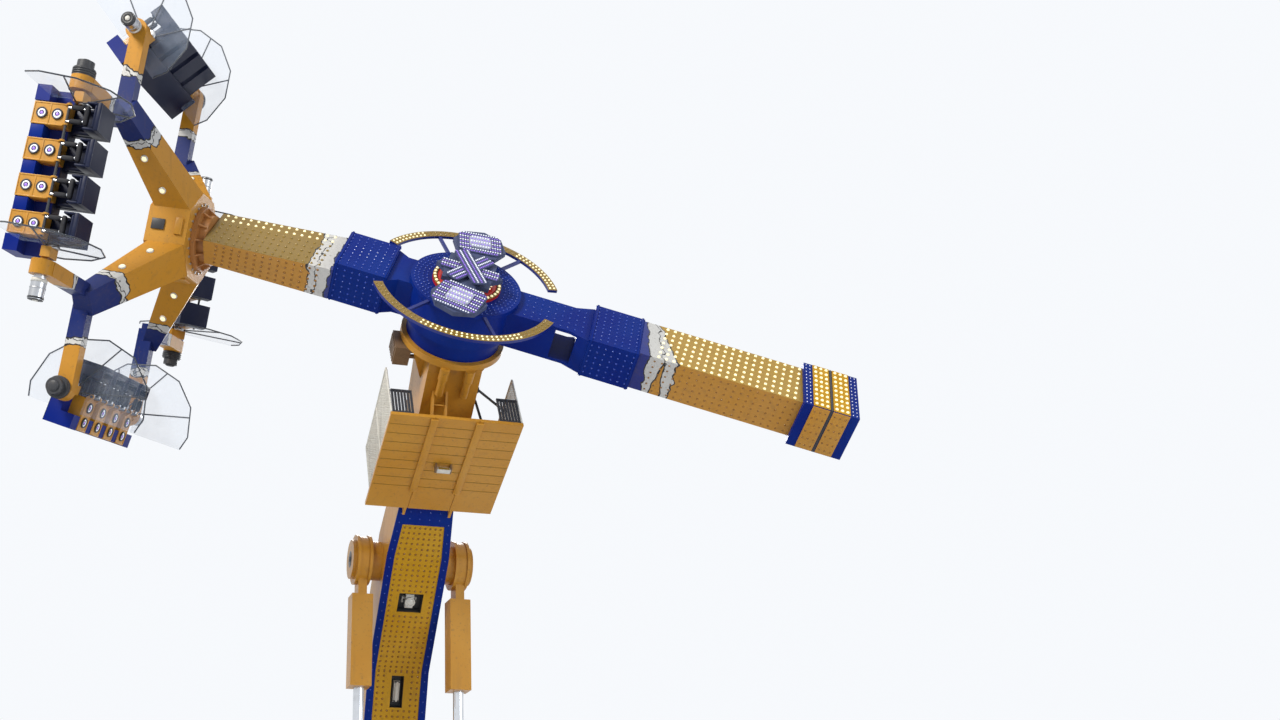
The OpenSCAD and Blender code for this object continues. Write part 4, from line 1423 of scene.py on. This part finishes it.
@dataclass(frozen=True)
class Board:
    """A flat plate of the hub sign, by its middle, half its sides and its turn in degrees."""

    y: float
    wide: float
    high: float
    turn: float
    low: float
    finish: Finish = Finish.BOARD
    thick: float = 0.03
    cut: float = 0.3
    lamp_edge: float = 0.04
    lamp_rows: float = 0.075
    lamp_pitch: float = 0.045

    def _place(self, u: float, v: float) -> tuple[float, float]:
        """A point of the plate on the sign's face."""
        cos, sin = math.cos(math.radians(self.turn)), math.sin(math.radians(self.turn))
        return u * cos - v * sin, self.y + u * sin + v * cos

    def _corner(self) -> float:
        """How much of each corner is cut off."""
        return self.cut * min(self.wide, self.high)

    def draw(self, shape: Shape) -> None:
        """Adds the plate to the sign.

        Args:
            shape: the sign's boards.
        """
        cut = self._corner()
        outline = [self._place(a * (self.wide - p * cut), b * (self.high - q * cut)) for a, b, p, q in CUT_CORNERS]
        shape.prism(outline, self.low, self.low + self.thick, self.finish)

    def lamps(self, place: Matrix) -> tuple[Studded, Studded]:
        """Places of its small lamps.

        Args:
            place: the sign's frame.

        Returns:
            The lamps of every other row, and those between them.
        """
        rows: tuple[Studded, Studded] = ([], [])
        top = self.high - self.lamp_edge
        for k, v in enumerate(spaced(-top, top, round(2 * self.high / self.lamp_rows))):
            reach = self.wide - 0.035 - max(0.0, abs(v) - self.high + self._corner())
            for u in spaced(-reach, reach, max(2, round(2 * reach / self.lamp_pitch))):
                spot = Vector((*self._place(u, v), self.low + self.thick))
                rows[k % 2].append((place @ spot, facing(place)))
        return rows


@dataclass
class SwingArm(Assembly):
    """The turning arm: drum, disc, sign, lamp arcs, boom, tail and counterweight."""

    body: str = "arm"
    arm_s: float = 0.72
    top: float = 1.52
    blue_half: float = 0.62
    blue_x: tuple[tuple[float, float], ...] = ((1.48, 2.32), (-3.32, -2.53))
    seams_x: tuple[float, ...] = (1.44, 2.36, -2.49, -3.36)
    spine_s: float = 1.45
    spine_x: tuple[float, float] = (-2.3, -1.2)
    spine_half: float = 0.34
    disc_front: float = 1.53
    disc_rings: tuple[tuple[float, int], ...] = ((0.98, 64), (0.90, 58), (0.82, 52), (0.74, 46))
    boss_front: float = 1.59
    sign_front: float = 1.82
    arc_r: float = 1.716
    arc_gap: float = 0.042
    arc_turns: tuple[tuple[int, int], ...] = ((-155, -25), (30, 164))
    arc_front: float = 1.53
    arc_caps: int = 44
    arc_lit: range = range(14, 35)
    boom_x: tuple[float, float] = (2.40, 4.92)
    boom_half: tuple[float, float] = (0.63, 0.56)
    boom_s: tuple[float, float] = (1.36, 1.12)
    boom_back: tuple[float, float] = (0.72, 0.64)
    boom_inset: float = 0.07
    boom_lamps: tuple[float, float, int] = (0.28, 2.4, 15)
    tail_x: tuple[float, float] = (-6.44, -3.40)
    tail_half: float = 0.565
    tail_slant: float = 0.10
    weight_x: tuple[float, float] = (-7.46, -6.44)
    weight_half: float = 0.675
    weight_s: tuple[float, float] = (0.63, 1.59)
    weight_edge: float = 0.17
    band_gap: float = 0.03
    seam_half: float = 0.02
    sunk: float = 0.004
    skin: float = 0.014
    place: Matrix = field(default_factory=PLACES.arm)

    def build(self) -> None:
        """Builds the lamps, boards and bands and dresses the solids."""
        boom = TornPaint("boom_paint", YELLOW, YELLOW_FADED, place=self.place, edge=2.48, width=0.40,
                         slope=(2.4, 1.36, 0.095))
        tail = TornPaint("tail_paint", YELLOW, YELLOW_FADED, place=self.place, edge=3.53, width=0.38,
                         mirrored=True, slope=(0.0, 1.52, 0.0), lean=0.12, spread=0.22, fork=3.88, sheet=TAIL_GOLD)
        self.dress(Finish.BLUE, "hub_drum arm_frame front_disc counterweight")
        self.dress(boom, "boom")
        self.dress(tail, "tail")
        self.dress(Finish.RED, "centre_boss")
        self.dress(Finish.BOARD, "centre_sign")
        self.dress(ArcPaint("arc_paint", GOLD, GOLD_FADED, place=self.place), "lamp_arcs")
        self.dress(Finish.RUST, "collar")
        self._blue_lamps()
        self._boom_lamps()
        self._tail_lamps()
        self._weight()
        self._arcs()
        self._boss()
        self._sign()
        self._seams()

    def _front(self, s: float) -> Matrix:
        """A frame on a front face at height s: X along the arm, Z out."""
        return self.place @ moved(z=s)

    def _flanks(self, half: float, columns: Sequence[float], rows: Sequence[float]) -> Studded:
        """Points in rows and columns on both side faces.

        Args:
            half: half the width between the faces.
            columns: places along the arm.
            rows: heights above the arm's back.

        Returns:
            The points with their faces' directions.
        """
        points = []
        for side in SIDES:
            face = face_frame(self.place, (0, side * half, 0), (side, 0, 0), (0, side, 0))
            points.extend(grid(face, [side * x for x in columns], [-s for s in rows]))
        return points

    def _blue_lamps(self) -> None:
        """Small caps in rows on the blue boxes and the drum's disc."""
        points = []
        front, reach = self._front(self.top), self.blue_half - 0.1
        rows = spaced(-reach, reach, 9)
        for low, high in self.blue_x:
            columns = spaced(low, high, 7)
            points.extend(grid(front, columns, rows))
            points.extend(self._flanks(self.blue_half, columns, spaced(self.arm_s + 0.1, self.top - 0.1, 6)))
        for radius, count in self.disc_rings:
            points.extend(ring(self._front(self.disc_front), radius, count))
        self.studs("blue_lamps", points, SMALL_CAP, Finish.BLUE_CAP, "blue_paint")
        spine = grid(self._front(self.spine_s), spaced(*self.spine_x, 9),
                     spaced(-self.spine_half, self.spine_half, 5))
        self.studs("spine_lamps", spine, SMALL_CAP, Finish.BLUE_CAP, "blue_paint")
        white = grid(front, spaced(1.62, 2.18, 5), rows[3:6])
        self.studs("blue_box_lights", white, BOX_LIGHT, Finish.WHITE_DOT, "pale_plastic")

    def _boom_lamps(self) -> None:
        """Rows of caps over the boom, the upper edge of its front lit."""
        start, inset = self.boom_x[0], self.boom_inset
        length = self.boom_x[1] - start
        slope = math.atan2(self.boom_s[0] - self.boom_s[1], length)
        lean = math.atan2(self.boom_half[0] - self.boom_half[1], length)
        front = face_frame(self.place, (start, 0, self.boom_s[0]), (math.cos(slope), 0, -math.sin(slope)),
                           (math.sin(slope), 0, math.cos(slope)))
        xs = spaced(*self.boom_lamps)
        lit, dim, flank = [], [], []
        for x in xs:
            reach = between(self.boom_half, x / length) - inset
            rows = spaced(-reach, reach, 7)
            lit.extend(grid(front, [x], rows[:2]))
            dim.extend(grid(front, [x], rows[2:]))
        for side in SIDES:
            face = face_frame(self.place, (start, side * self.boom_half[0], 0),
                              (side * math.cos(lean), -math.sin(lean), 0), (math.sin(lean), side * math.cos(lean), 0))
            for x in xs[:-1]:
                low, high = between(self.boom_back, x / length) + inset, between(self.boom_s, x / length) - inset
                flank.extend(grid(face, [side * x], [-s for s in spaced(low, high, 5)]))
        self.studs("boom_lamps_lit", lit, BOOM_LIT, Finish.LIT, "pale_plastic")
        self.studs("boom_lamps", dim, BOOM_DIM, Finish.AMBER, "pale_plastic")
        self.studs("boom_side_lamps", flank, BOOM_SIDE, Finish.DIM, "gold_panel")

    def _tail_lamps(self) -> None:
        """Slanted columns of lit lamps on the tail's front and dim ones on its sides."""
        (x0, x1), reach = self.tail_x, self.tail_half - 0.06
        lit = grid(self._front(self.top), spaced(x0 + 0.10, x1 - 0.40, 19), spaced(-reach, reach, 7),
                   slant=self.tail_slant)
        dim = self._flanks(self.tail_half, spaced(x0 + 0.12, x1 - 0.3, 20),
                           spaced(self.arm_s + 0.09, self.top - 0.08, 6))
        self.studs("tail_lamps_lit", lit, LIT_CAP, Finish.LIT, "pale_plastic")
        self.studs("tail_lamps", dim, SIDE_CAP, Finish.DIM, "gold_panel")

    def _weight(self) -> None:
        """Gold bands between blue edge frames on the counterweight, with their lamps."""
        (x0, x1), (s0, s1) = self.weight_x, self.weight_s
        mid, half, skin = (x0 + x1) / 2, self.weight_half, self.skin
        edge, gap, seam, sunk = self.weight_edge, self.band_gap, self.seam_half, self.sunk
        shape = Shape("weight_bands", self.place)
        lit, dots, dim = [], [], []
        for low, high in ((x0 + edge, mid - gap), (mid + gap, x1 - edge)):
            shape.box((low, -half + 0.01, s1 - sunk), (high, half - 0.01, s1 + skin), Finish.PANEL, 0.004)
            for side in SIDES:
                shape.box((low, side * (half - sunk), s0 + 0.01), (high, side * (half + skin), s1 - 0.01),
                          Finish.YELLOW, 0.004)
            columns = [low + 0.055, (low + high) / 2, high - 0.055]
            lit.extend(grid(self._front(s1 + skin), columns, spaced(-half + 0.08, half - 0.08, 9)))
            dim.extend(self._flanks(half + skin, columns, spaced(s0 + 0.1, s1 - 0.1, 6)))
        for x in (x0 + 0.05, x0 + 0.12, x1 - 0.12, x1 - 0.05):
            dots.extend(grid(self._front(s1), [x], spaced(-half + 0.06, half - 0.06, 12)))
        shape.box((mid - seam, -half + 0.002, s1 - 0.02), (mid + seam, half - 0.002, s1 + 0.006), Finish.DARK)
        for side in SIDES:
            shape.box((mid - seam, side * (half - 0.01), s0 + 0.005), (mid + seam, side * (half + 0.006), s1 - 0.005),
                      Finish.DARK)
        shape.finish(self.body, "gold_panel")
        self.studs("weight_lamps_lit", lit, LIT_CAP, Finish.LIT, "pale_plastic")
        self.studs("weight_lamps", dim, SIDE_CAP, Finish.DIM, "gold_panel")
        self.studs("weight_edge_lights", dots, EDGE_LIGHT, Finish.WHITE_DOT, "pale_plastic")

    def _arcs(self) -> None:
        """Two rows of caps along the lamp arcs, part of them lit."""
        lit, dim = [], []
        for first, last in self.arc_turns:
            for side in SIDES:
                caps = ring(self._front(self.arc_front), self.arc_r + side * self.arc_gap, self.arc_caps, first, last)
                for k, cap in enumerate(caps):
                    (lit if (k in self.arc_lit) == (first > 0) else dim).append(cap)
        self.studs("arc_lamps_lit", lit, ARC_CAP, Finish.LIT, "pale_plastic")
        self.studs("arc_lamps", dim, ARC_CAP, Finish.AMBER, "gold_panel")

    def _boss(self) -> None:
        """The red boss with its domed face and gold lamp rim."""
        shape = Shape("boss_face", self.place)
        seat = moved(z=self.boss_front)
        shape.lathe(BOSS_FACE, Finish.RED, seat, 64)
        shape.lathe(BOSS_RIM, Finish.GOLD, seat, 64)
        shape.finish(self.body, "red_plastic")
        lamps = [lamp for rise, radius, count in ((0.02, 0.61, 36), (0.036, 0.45, 26))
                 for lamp in ring(self._front(self.boss_front + rise), radius, count)]
        self.studs("boss_lamps", lamps, BOSS_CAP, Finish.LIT, "pale_plastic")

    def _sign(self) -> None:
        """A layered board of crossed bars between two blocks, filled with rows of small lamps."""
        shape, base, step = Shape("sign_boards", self.place), self.sign_front, Board.thick
        boards = []
        for y, wide, high, turn in ((-1.02, 0.42, 0.36, 12.0), (1.02, 0.44, 0.42, -10.0)):
            boards.append(Board(y, wide, high, turn, base))
            boards.append(Board(y, 0.5 * wide, 0.55 * high, turn, base + step, Finish.BOARD_PALE))
        for layer, turn in enumerate((0.0, 60.0, -60.0)):
            boards.append(Board(0.0, 0.56, 0.15, turn, base + layer * step))
        rows: tuple[Studded, Studded] = ([], [])
        for board in boards:
            board.draw(shape)
            for row, lamps in zip(rows, board.lamps(self.place)):
                row.extend(lamps)
        shape.finish(self.body, "sign_plastic")
        self.studs("sign_lights", rows[0], SIGN_CAP, Finish.WHITE_DOT, "pale_plastic", Stud.CAP)
        self.studs("sign_lights_blue", rows[1], SIGN_CAP, Finish.VIOLET, "pale_plastic", Stud.CAP)

    def _seams(self) -> None:
        """Raised seams where the blue boxes meet boom and tail."""
        shape, reach, half = Shape("box_seams", self.place), self.blue_half + 0.012, self.seam_half
        for x in self.seams_x:
            shape.box((x - half, -reach, self.arm_s - 0.01), (x + half, reach, self.top + self.skin), Finish.BLUE,
                      0.006)
        shape.finish(self.body, "blue_paint")


# Spider

ARM_LAMP_RIM: Profile = ((0.07, 0.0), (0.07, 0.02), (0.055, 0.035), (0.05, 0.03))
ARM_LAMP: Profile = ((0.05, 0.0), (0.05, 0.03), (0.03, 0.042), (0.0, 0.045))
MOTOR_CAP: Profile = ((0.10, 0.275), (0.10, 0.30), (0.07, 0.315), (0.0, 0.315))
RING_CAP: Profile = ((0.128, 0.419), (0.128, 0.432), (0.07, 0.436), (0.06, 0.424), (0.0, 0.424))
RING_PLUG: Profile = ((0.05, 0.422), (0.045, 0.445), (0.0, 0.45))


def band(inner: float, outer: float, low: float, high: float) -> Profile:
    """The profile of a raised band about a round body."""
    return [(inner, low), (outer, low), (outer, high), (inner, high)]


@dataclass
class Spider(Assembly):
    """The four-armed spider that carries the gondolas."""

    body: str = "spider"
    root: float = 0.82
    run: float = 1.8
    arm_half: tuple[float, float] = (0.34, 0.25)
    arm_mid: tuple[float, float] = (0.07, 0.96)
    front: float = 0.5005
    back: float = -0.2995
    cap_rise: float = 0.09
    bracket_x: float = 0.815
    lamps_x: tuple[float, float] = (1.15, 1.75)
    ribs: tuple[float, ...] = (0.03, 0.07, 0.11)
    end: float = 1.745
    place: Matrix = field(default_factory=PLACES.spider)

    def build(self) -> None:
        """Builds the bolts, lamps and ribs and dresses the solids."""
        self.dress(Finish.YELLOW, "spider_hub")
        for k in range(4):
            arm = self.place @ turned(90 * k + 45, "Z")
            paint = SpiderPaint(f"spider_arm_paint_{k + 1}", YELLOW, YELLOW_FADED, place=arm, start=FORK_BLUE,
                                width=0.16, coat=0.02, shine=0.12)
            self.dress(paint, f"spider_arm_{k + 1}")
        self.dress(Finish.DARK, "brake_motors")
        self.dress(Finish.DULL_CHROME, "slip_rings")
        self._hub_bolts()
        self._hub_brackets()
        self._arm_lamps()
        self._axle_ends()

    def _hub_bolts(self) -> None:
        """Bolt circles on the front and back of the spider's hub."""
        points = ring(self.place @ moved(z=self.front), 0.62, 16)
        points += ring(self.place @ moved(z=self.front + self.cap_rise), 0.34, 12)
        points += ring(face_frame(self.place, (0, 0, self.back), (1, 0, 0), (0, 0, -1)), 0.66, 24)
        self.studs("hub_bolts", points, HUB_BOLT, Finish.STEEL, "steel", Stud.HEX)

    def _hub_brackets(self) -> None:
        """A yellow and a dark bracket on every other side of the hub."""
        shape, near = Shape("hub_brackets", self.place), self.bracket_x
        for k in range(4):
            turn = turned(90 * k, "Z")
            shape.box((near, -0.16, -0.20), (near + 0.045, 0.16, -0.06), Finish.YELLOW, 0.006, turn)
            shape.box((near, -0.10, 0.15), (near + 0.035, 0.10, 0.40), Finish.DARK, 0.006, turn)
        shape.finish(self.body, "yellow_paint")

    def _arm_lamps(self) -> None:
        """Two small lamps on each side of every arm."""
        shape = Shape("arm_lamps", self.place)
        for k in range(4):
            for x in self.lamps_x:
                share = (x - self.root) / self.run
                half, mid = between(self.arm_half, share) - 0.006, between(self.arm_mid, share)
                for side in SIDES:
                    seat = face_frame(turned(90 * k + 45, "Z"), (x, side * half, mid), (1, 0, 0), (-0.05, side, 0))
                    shape.lathe(ARM_LAMP_RIM, Finish.HOUSING, seat, 20)
                    shape.lathe(ARM_LAMP, Finish.LIT, seat, 20)
        shape.finish(self.body, "pale_plastic")

    def _axle_ends(self) -> None:
        """Ribs on the brake motors, and bands on the slip rings."""
        motors, rings = Shape("motor_ribs", self.place), Shape("slip_ring_bands", self.place)
        for k in range(4):
            other, motor = (face_frame(turned(90 * k, "Z"), (PLACES.axle_r, side * self.end, PLACES.axle_z),
                                       (0, 0, 1), (0, side, 0)) for side in SIDES)
            for low in self.ribs:
                motors.lathe(band(0.19, 0.203, low, low + 0.02), Finish.DARK, motor)
            motors.lathe(MOTOR_CAP, Finish.DARK, motor, 24)
            for low, high, finish in ((0.07, 0.13, Finish.HOUSING), (0.22, 0.24, Finish.STEEL),
                                      (0.38, 0.41, Finish.DARK)):
                rings.lathe(band(0.13, 0.137, low, high), finish, other)
            rings.lathe(RING_CAP, Finish.DARK, other)
            rings.lathe(RING_PLUG, Finish.HOUSING, other, 24)
        motors.finish(self.body, "dark_paint")
        rings.finish(self.body, "chrome_rod")


# Gondolas

LAMP_RIM: Profile = ((0.098, -0.004), (0.098, 0.02), (0.084, 0.034), (0.070, 0.016))
LAMP_RING: Profile = ((0.070, 0.0), (0.070, 0.016), (0.055, 0.024), (0.040, 0.012))
LAMP_EYE: Profile = ((0.040, 0.0), (0.040, 0.012), (0.02, 0.018), (0.0, 0.020))
SHIELD_HUB: Profile = ((0.105, -0.022), (0.105, 0.022), (0.09, 0.03), (0.0, 0.03))


@dataclass
class Gondola(Assembly):
    """One gondola: head boxes with ring lamps, seats, harness bars and clear shields."""

    body: str = ""
    index: int = 1
    pitch: float = 0.635
    box_front: float = -0.30
    box_half: float = 0.19
    box_h: float = 0.606
    lamps_z: tuple[float, float] = (0.16, 0.44)
    trim_z: tuple[float, ...] = (-0.004, 0.29, 0.585)
    strip_half: float = 0.119
    shield_r: float = 1.15
    shield_x: float = 1.255
    shield_mid: tuple[float, float] = (-0.326, 0.04)
    shield_top: float = 0.32
    facet: float = 30.0
    spokes: tuple[float, ...] = (200.0, 255.0, 310.0)
    pivot: tuple[float, float] = (-0.35, -0.045)
    seat_front: float = -0.425
    seat_end: float = 0.05
    seat_back: float = 0.06
    pan: float = -0.56
    pad_clear: float = 0.13
    tube_r: float = 0.024
    bar_half: float = 0.12
    bend: float = 0.05
    tube_s: float = 0.014
    shaft_in: float = 0.085
    hub_z: float = -0.125
    pad_fill: float = 0.9

    def __post_init__(self) -> None:
        """Places the gondola and names its bodies and its seats' middles."""
        self.place = PLACES.gondola(self.index)
        self.body = f"gondola_{self.index}"
        self.harness = f"harness_{self.index}"
        self.seats = [(k - 1.5) * self.pitch for k in range(4)]

    def build(self) -> None:
        """Builds the gondola's pieces and dresses its solids."""
        # The beam's paint holds painted shade on the beam's back.
        beam = SeatBeamPaint(f"seat_beam_{self.index}", BLUE, BLUE_FADED, place=self.place, **MATT_BLUE)
        self.dress(beam, f"gondola_beam_{self.index}")
        self.dress(Finish.YELLOW, f"head_boxes_{self.index}")
        self.dress(Finish.CLEAR, f"shields_{self.index}")
        self._ring_lamps()
        self._trim()
        self._seats()
        self._shields()
        self._harness()

    def _shape(self, name: str) -> Shape:
        """A shape in the gondola's frame, with its number in its name."""
        return Shape(f"{name}_{self.index}", self.place)

    def _ring_lamps(self) -> None:
        """Two ring lamps on the front of each head box."""
        shape = self._shape("ring_lamps")
        for x in self.seats:
            for z in self.lamps_z:
                seat = face_frame(UPRIGHT, (x, self.box_front, z), (1, 0, 0), (0, -1, 0))
                for profile, finish in ((LAMP_RIM, Finish.DARK), (LAMP_RING, Finish.WHITE_DOT),
                                        (LAMP_EYE, Finish.VIOLET)):
                    shape.lathe(profile, finish, seat, 28)
        shape.finish(self.body, "pale_plastic")

    def _trim(self) -> None:
        """Edge frames on the head boxes' fronts, and blue strips between them."""
        shape, front, half = self._shape("box_trim"), self.box_front, self.box_half
        for x in self.seats:
            for side in SIDES:
                shape.box((x + side * (half + 0.006), front - 0.008, 0.01),
                          (x + side * (half - 0.02), front + 0.27, self.box_h), Finish.YELLOW, 0.005)
            for z in self.trim_z:
                shape.box((x - half, front - 0.008, z), (x + half, front + 0.01, z + 0.02), Finish.YELLOW, 0.004)
        for k in (-1, 0, 1):
            x, strip = k * self.pitch, self.strip_half
            shape.box((x - strip, front + 0.008, 0.36), (x + strip, -0.012, 0.60), Finish.BLUE, 0.005)
        shape.finish(self.body, "yellow_paint")

    def _seats(self) -> None:
        """Moulded seat shells with their side bolsters and pans."""
        shape = self._shape("seat_shells")
        back, pan, near, end = self.seat_back, self.pan, self.seat_front, self.seat_end
        for x in self.seats:
            shape.box((x - 0.225, back - 0.035, pan + 0.06), (x + 0.225, back + 0.01, 0.0), Finish.SEAT, 0.02)
            for side in SIDES:
                shape.box((x + side * 0.17, back - 0.12, pan + 0.08), (x + side * 0.23, back, -0.08),
                          Finish.SEAT, 0.022)
                shape.box((x + side * 0.205, near, pan), (x + side * 0.243, end, pan + 0.185), Finish.SEAT, 0.012)
            shape.box((x - 0.2, near, pan - 0.01), (x + 0.2, end, pan + 0.035), Finish.SEAT, 0.02)
            shape.box((x - 0.243, near, pan - 0.083), (x + 0.243, near + 0.045, pan - 0.01), Finish.SEAT, 0.015)
        shape.finish(self.body, "seat_blue")

    def _rim(self, angle: float, share: float) -> tuple[float, float]:
        """A point of the twelve-sided shield, held under its straight top edge.

        Args:
            angle: the direction from the shield's middle, in degrees.
            share: the share of the way out to the rim.

        Returns:
            Distance back and height, from the axle.
        """
        half = self.facet / 2
        side, a = math.radians(angle % self.facet - half), math.radians(angle)
        reach = share * self.shield_r * math.cos(math.radians(half)) / math.cos(side)
        middle, height = self.shield_mid
        return middle + reach * math.cos(a), min(height + reach * math.sin(a), self.shield_top - 0.004)

    def _shields(self) -> None:
        """Thin dark rims with a few spokes around each clear shield, and a hub plate."""
        lines, hubs = [], self._shape("shield_hubs")
        rise = math.degrees(math.asin((self.shield_top - self.shield_mid[1]) / self.shield_r))
        turns = [180.0 - rise, *(self.facet * k for k in range(6, 13)), 360.0 + rise]
        for side in SIDES:
            x = side * self.shield_x
            lines.append([(x, *self._rim(a, 0.99)) for a in turns])
            for a in self.spokes:
                far = self._rim(a, 0.985)
                lines.append([(x, *(0.13 * c for c in far)), (x, *far)])
            seat = face_frame(UPRIGHT, (x, 0, self.hub_z), (0, 1, 0), (side, 0, 0))
            hubs.lathe(SHIELD_HUB, Finish.DULL_CHROME, seat, 24)
        piece = tube_lines(f"shield_frames_{self.index}", self.place, lines, self.tube_s, Finish.DARK, 8)
        seated(piece, self.body, "dark_paint")
        hubs.finish(self.body, "dark_paint")

    def _harness(self) -> None:
        """Bent tubes and foam pads of the lap bars."""
        (y, z), low, half = self.pivot, self.pan + self.pad_clear, self.bar_half
        reach, nodes = self.shield_x - self.shaft_in, (f"harnesses_{self.index}",)
        bars, pads = [], self._shape("harness_pads")
        arch = [(-half, y, z), (-half, y - 0.02, low + 0.09), (-0.05, y - 0.03, low + 0.035)]
        arch += [(-x, *rest) for x, *rest in reversed(arch)]
        for x in self.seats:
            bars.append(rounded([(x + off, *rest) for off, *rest in arch], self.bend))
            for side in SIDES:
                at = x + side * half
                pads.pad((at - 0.04, y - 0.06, low + 0.09), (at + 0.04, y + 0.02, z - 0.06), Finish.PAD)
            pads.pad((x - 0.175, y - 0.07, low - 0.003), (x + 0.175, y + 0.03, low + 0.078), Finish.PAD)
        shaft = [[(-reach, y, z), (reach, y, z)]]
        for name, lines, finish in (("harness_shaft", shaft, Finish.DARK), ("harness_bars", bars, Finish.CHROME)):
            piece = tube_lines(f"{name}_{self.index}", self.place, lines, self.tube_r, finish)
            seated(piece, self.harness, "chrome_rod", nodes)
        pads.finish(self.harness, "seat_blue", nodes)


# Studio

@dataclass
class Studio:
    """Camera, floor, backdrop and lamps around the ride."""

    spot: Point = (-6.02, -22.96, 1.6)
    yaw: float = 13.97
    pitch: float = 23.56
    lens: float = 38.03
    shift: float = 0.1617
    sensor: float = 36.0
    sight: float = 1000.0
    floor_half: float = 300.0
    near_far: tuple[float, float] = (14.0, 55.0)
    near_far_glow: tuple[float, float] = (0.66, 0.79)
    lit_floor: Colour = (0.70, 0.72, 0.74)
    seen_floor: Colour = (0.26, 0.27, 0.28)
    backdrop: Colour = (0.93, 0.95, 0.98)
    sky: Colour = (0.86, 0.92, 1.0)
    sky_glow: float = 0.45

    def camera(self) -> None:
        """Sets the camera at the photo's viewing angle."""
        data = bpy.data.cameras.new("camera")
        data.lens = self.lens
        data.sensor_width = self.sensor
        data.shift_x = self.shift
        data.clip_end = self.sight
        camera = in_scene("camera", data)
        camera.location = self.spot
        camera.rotation_euler = (math.radians(90 + self.pitch), 0.0, math.radians(-self.yaw))
        bpy.context.scene.camera = camera

    def _seen(self, s: Tree) -> Socket:
        """1 for what the camera sees, also in gloss and through glass."""
        rays = s.add("ShaderNodeLightPath").outputs
        beyond = s.math("MAXIMUM", rays["Is Glossy Ray"], rays["Is Transmission Ray"])
        return s.math("MAXIMUM", rays["Is Camera Ray"], beyond)

    def _pale(self) -> bpy.types.Material:
        """A pale matt material that looks near white to the camera and in reflections, and keeps shadows.

        The lamps reach the middle of the floor only, so its glow rises towards the horizon.

        Returns:
            The material.
        """
        material = bpy.data.materials.new("floor_pale")
        material.use_nodes = True
        s = Tree(material.node_tree)
        seen = self._seen(s)
        far = s.add("ShaderNodeVectorMath", s.local(), operation="LENGTH").outputs["Value"]
        glow = s.add("ShaderNodeMapRange", far, *self.near_far, *self.near_far_glow,
                     interpolation_type="SMOOTHSTEP").outputs["Result"]
        s.feed(material.node_tree.nodes["Principled BSDF"], Base_Color=s.mix(seen, self.lit_floor, self.seen_floor),
               Emission_Color=self.backdrop, Emission_Strength=s.math("MULTIPLY", seen, glow), Roughness=0.9)
        return material

    def stage(self) -> None:
        """Lays the floor."""
        mesh = bpy.data.meshes.new("floor")
        corners = [(x * self.floor_half, y * self.floor_half, 0) for x, y in ((-1, -1), (1, -1), (1, 1), (-1, 1))]
        mesh.from_pydata(corners, [], [(0, 1, 2, 3)])
        mesh.materials.append(self._pale())
        in_scene("floor", mesh)

    def world(self) -> None:
        """A pale surround that shows white to the camera, in gloss and through glass."""
        world = bpy.data.worlds.new("studio")
        world.use_nodes = True
        bpy.context.scene.world = world
        world.node_tree.nodes.clear()
        s = Tree(world.node_tree)
        soft = s.add("ShaderNodeBackground", Color=self.sky, Strength=self.sky_glow).outputs[0]
        white = s.add("ShaderNodeBackground", Color=self.backdrop, Strength=1.0).outputs[0]
        both = s.add("ShaderNodeMixShader", self._seen(s), soft, white).outputs[0]
        s.add("ShaderNodeOutputWorld", both)

    def lamps(self) -> None:
        """A warm key lamp from the left, a soft fill from the front right and one lamp from behind."""
        for name, spot, aim, power, size, colour in (
                ("key", (-26, -18, 30), (0, 0, 11), 12500.0, 10.0, (1.0, 0.96, 0.88)),
                ("fill", (24, -26, 10), (0, 0, 10), 4000.0, 16.0, (0.92, 0.96, 1.0)),
                ("back", (8, 28, 26), (0, 0, 12), 4500.0, 12.0, (1.0, 1.0, 1.0))):
            data = bpy.data.lights.new(name, "AREA")
            data.energy = power
            data.size = size
            data.color = colour
            lamp = in_scene(name, data)
            lamp.location = spot
            lamp.rotation_euler = (Vector(aim) - Vector(spot)).to_track_quat("-Z", "Y").to_euler()

    def build(self) -> None:
        """Sets up everything around the ride."""
        self.camera()
        self.stage()
        self.world()
        self.lamps()
        bpy.context.scene.view_settings.view_transform = "Standard"


def main() -> None:
    """Builds the studio and every sub-assembly."""
    logging.basicConfig(level=logging.INFO, format="%(name)s %(message)s", stream=sys.stdout)
    Studio().build()
    parts: list[Assembly] = [GroundFrame(), Mast(), Platform(), SwingArm(), Spider()]
    parts += [Gondola(index=index) for index in GONDOLAS]
    for part in parts:
        part.build()
        LOG.info("%s built on %s", type(part).__name__, part.body)


if __name__ == "__main__":
    main()
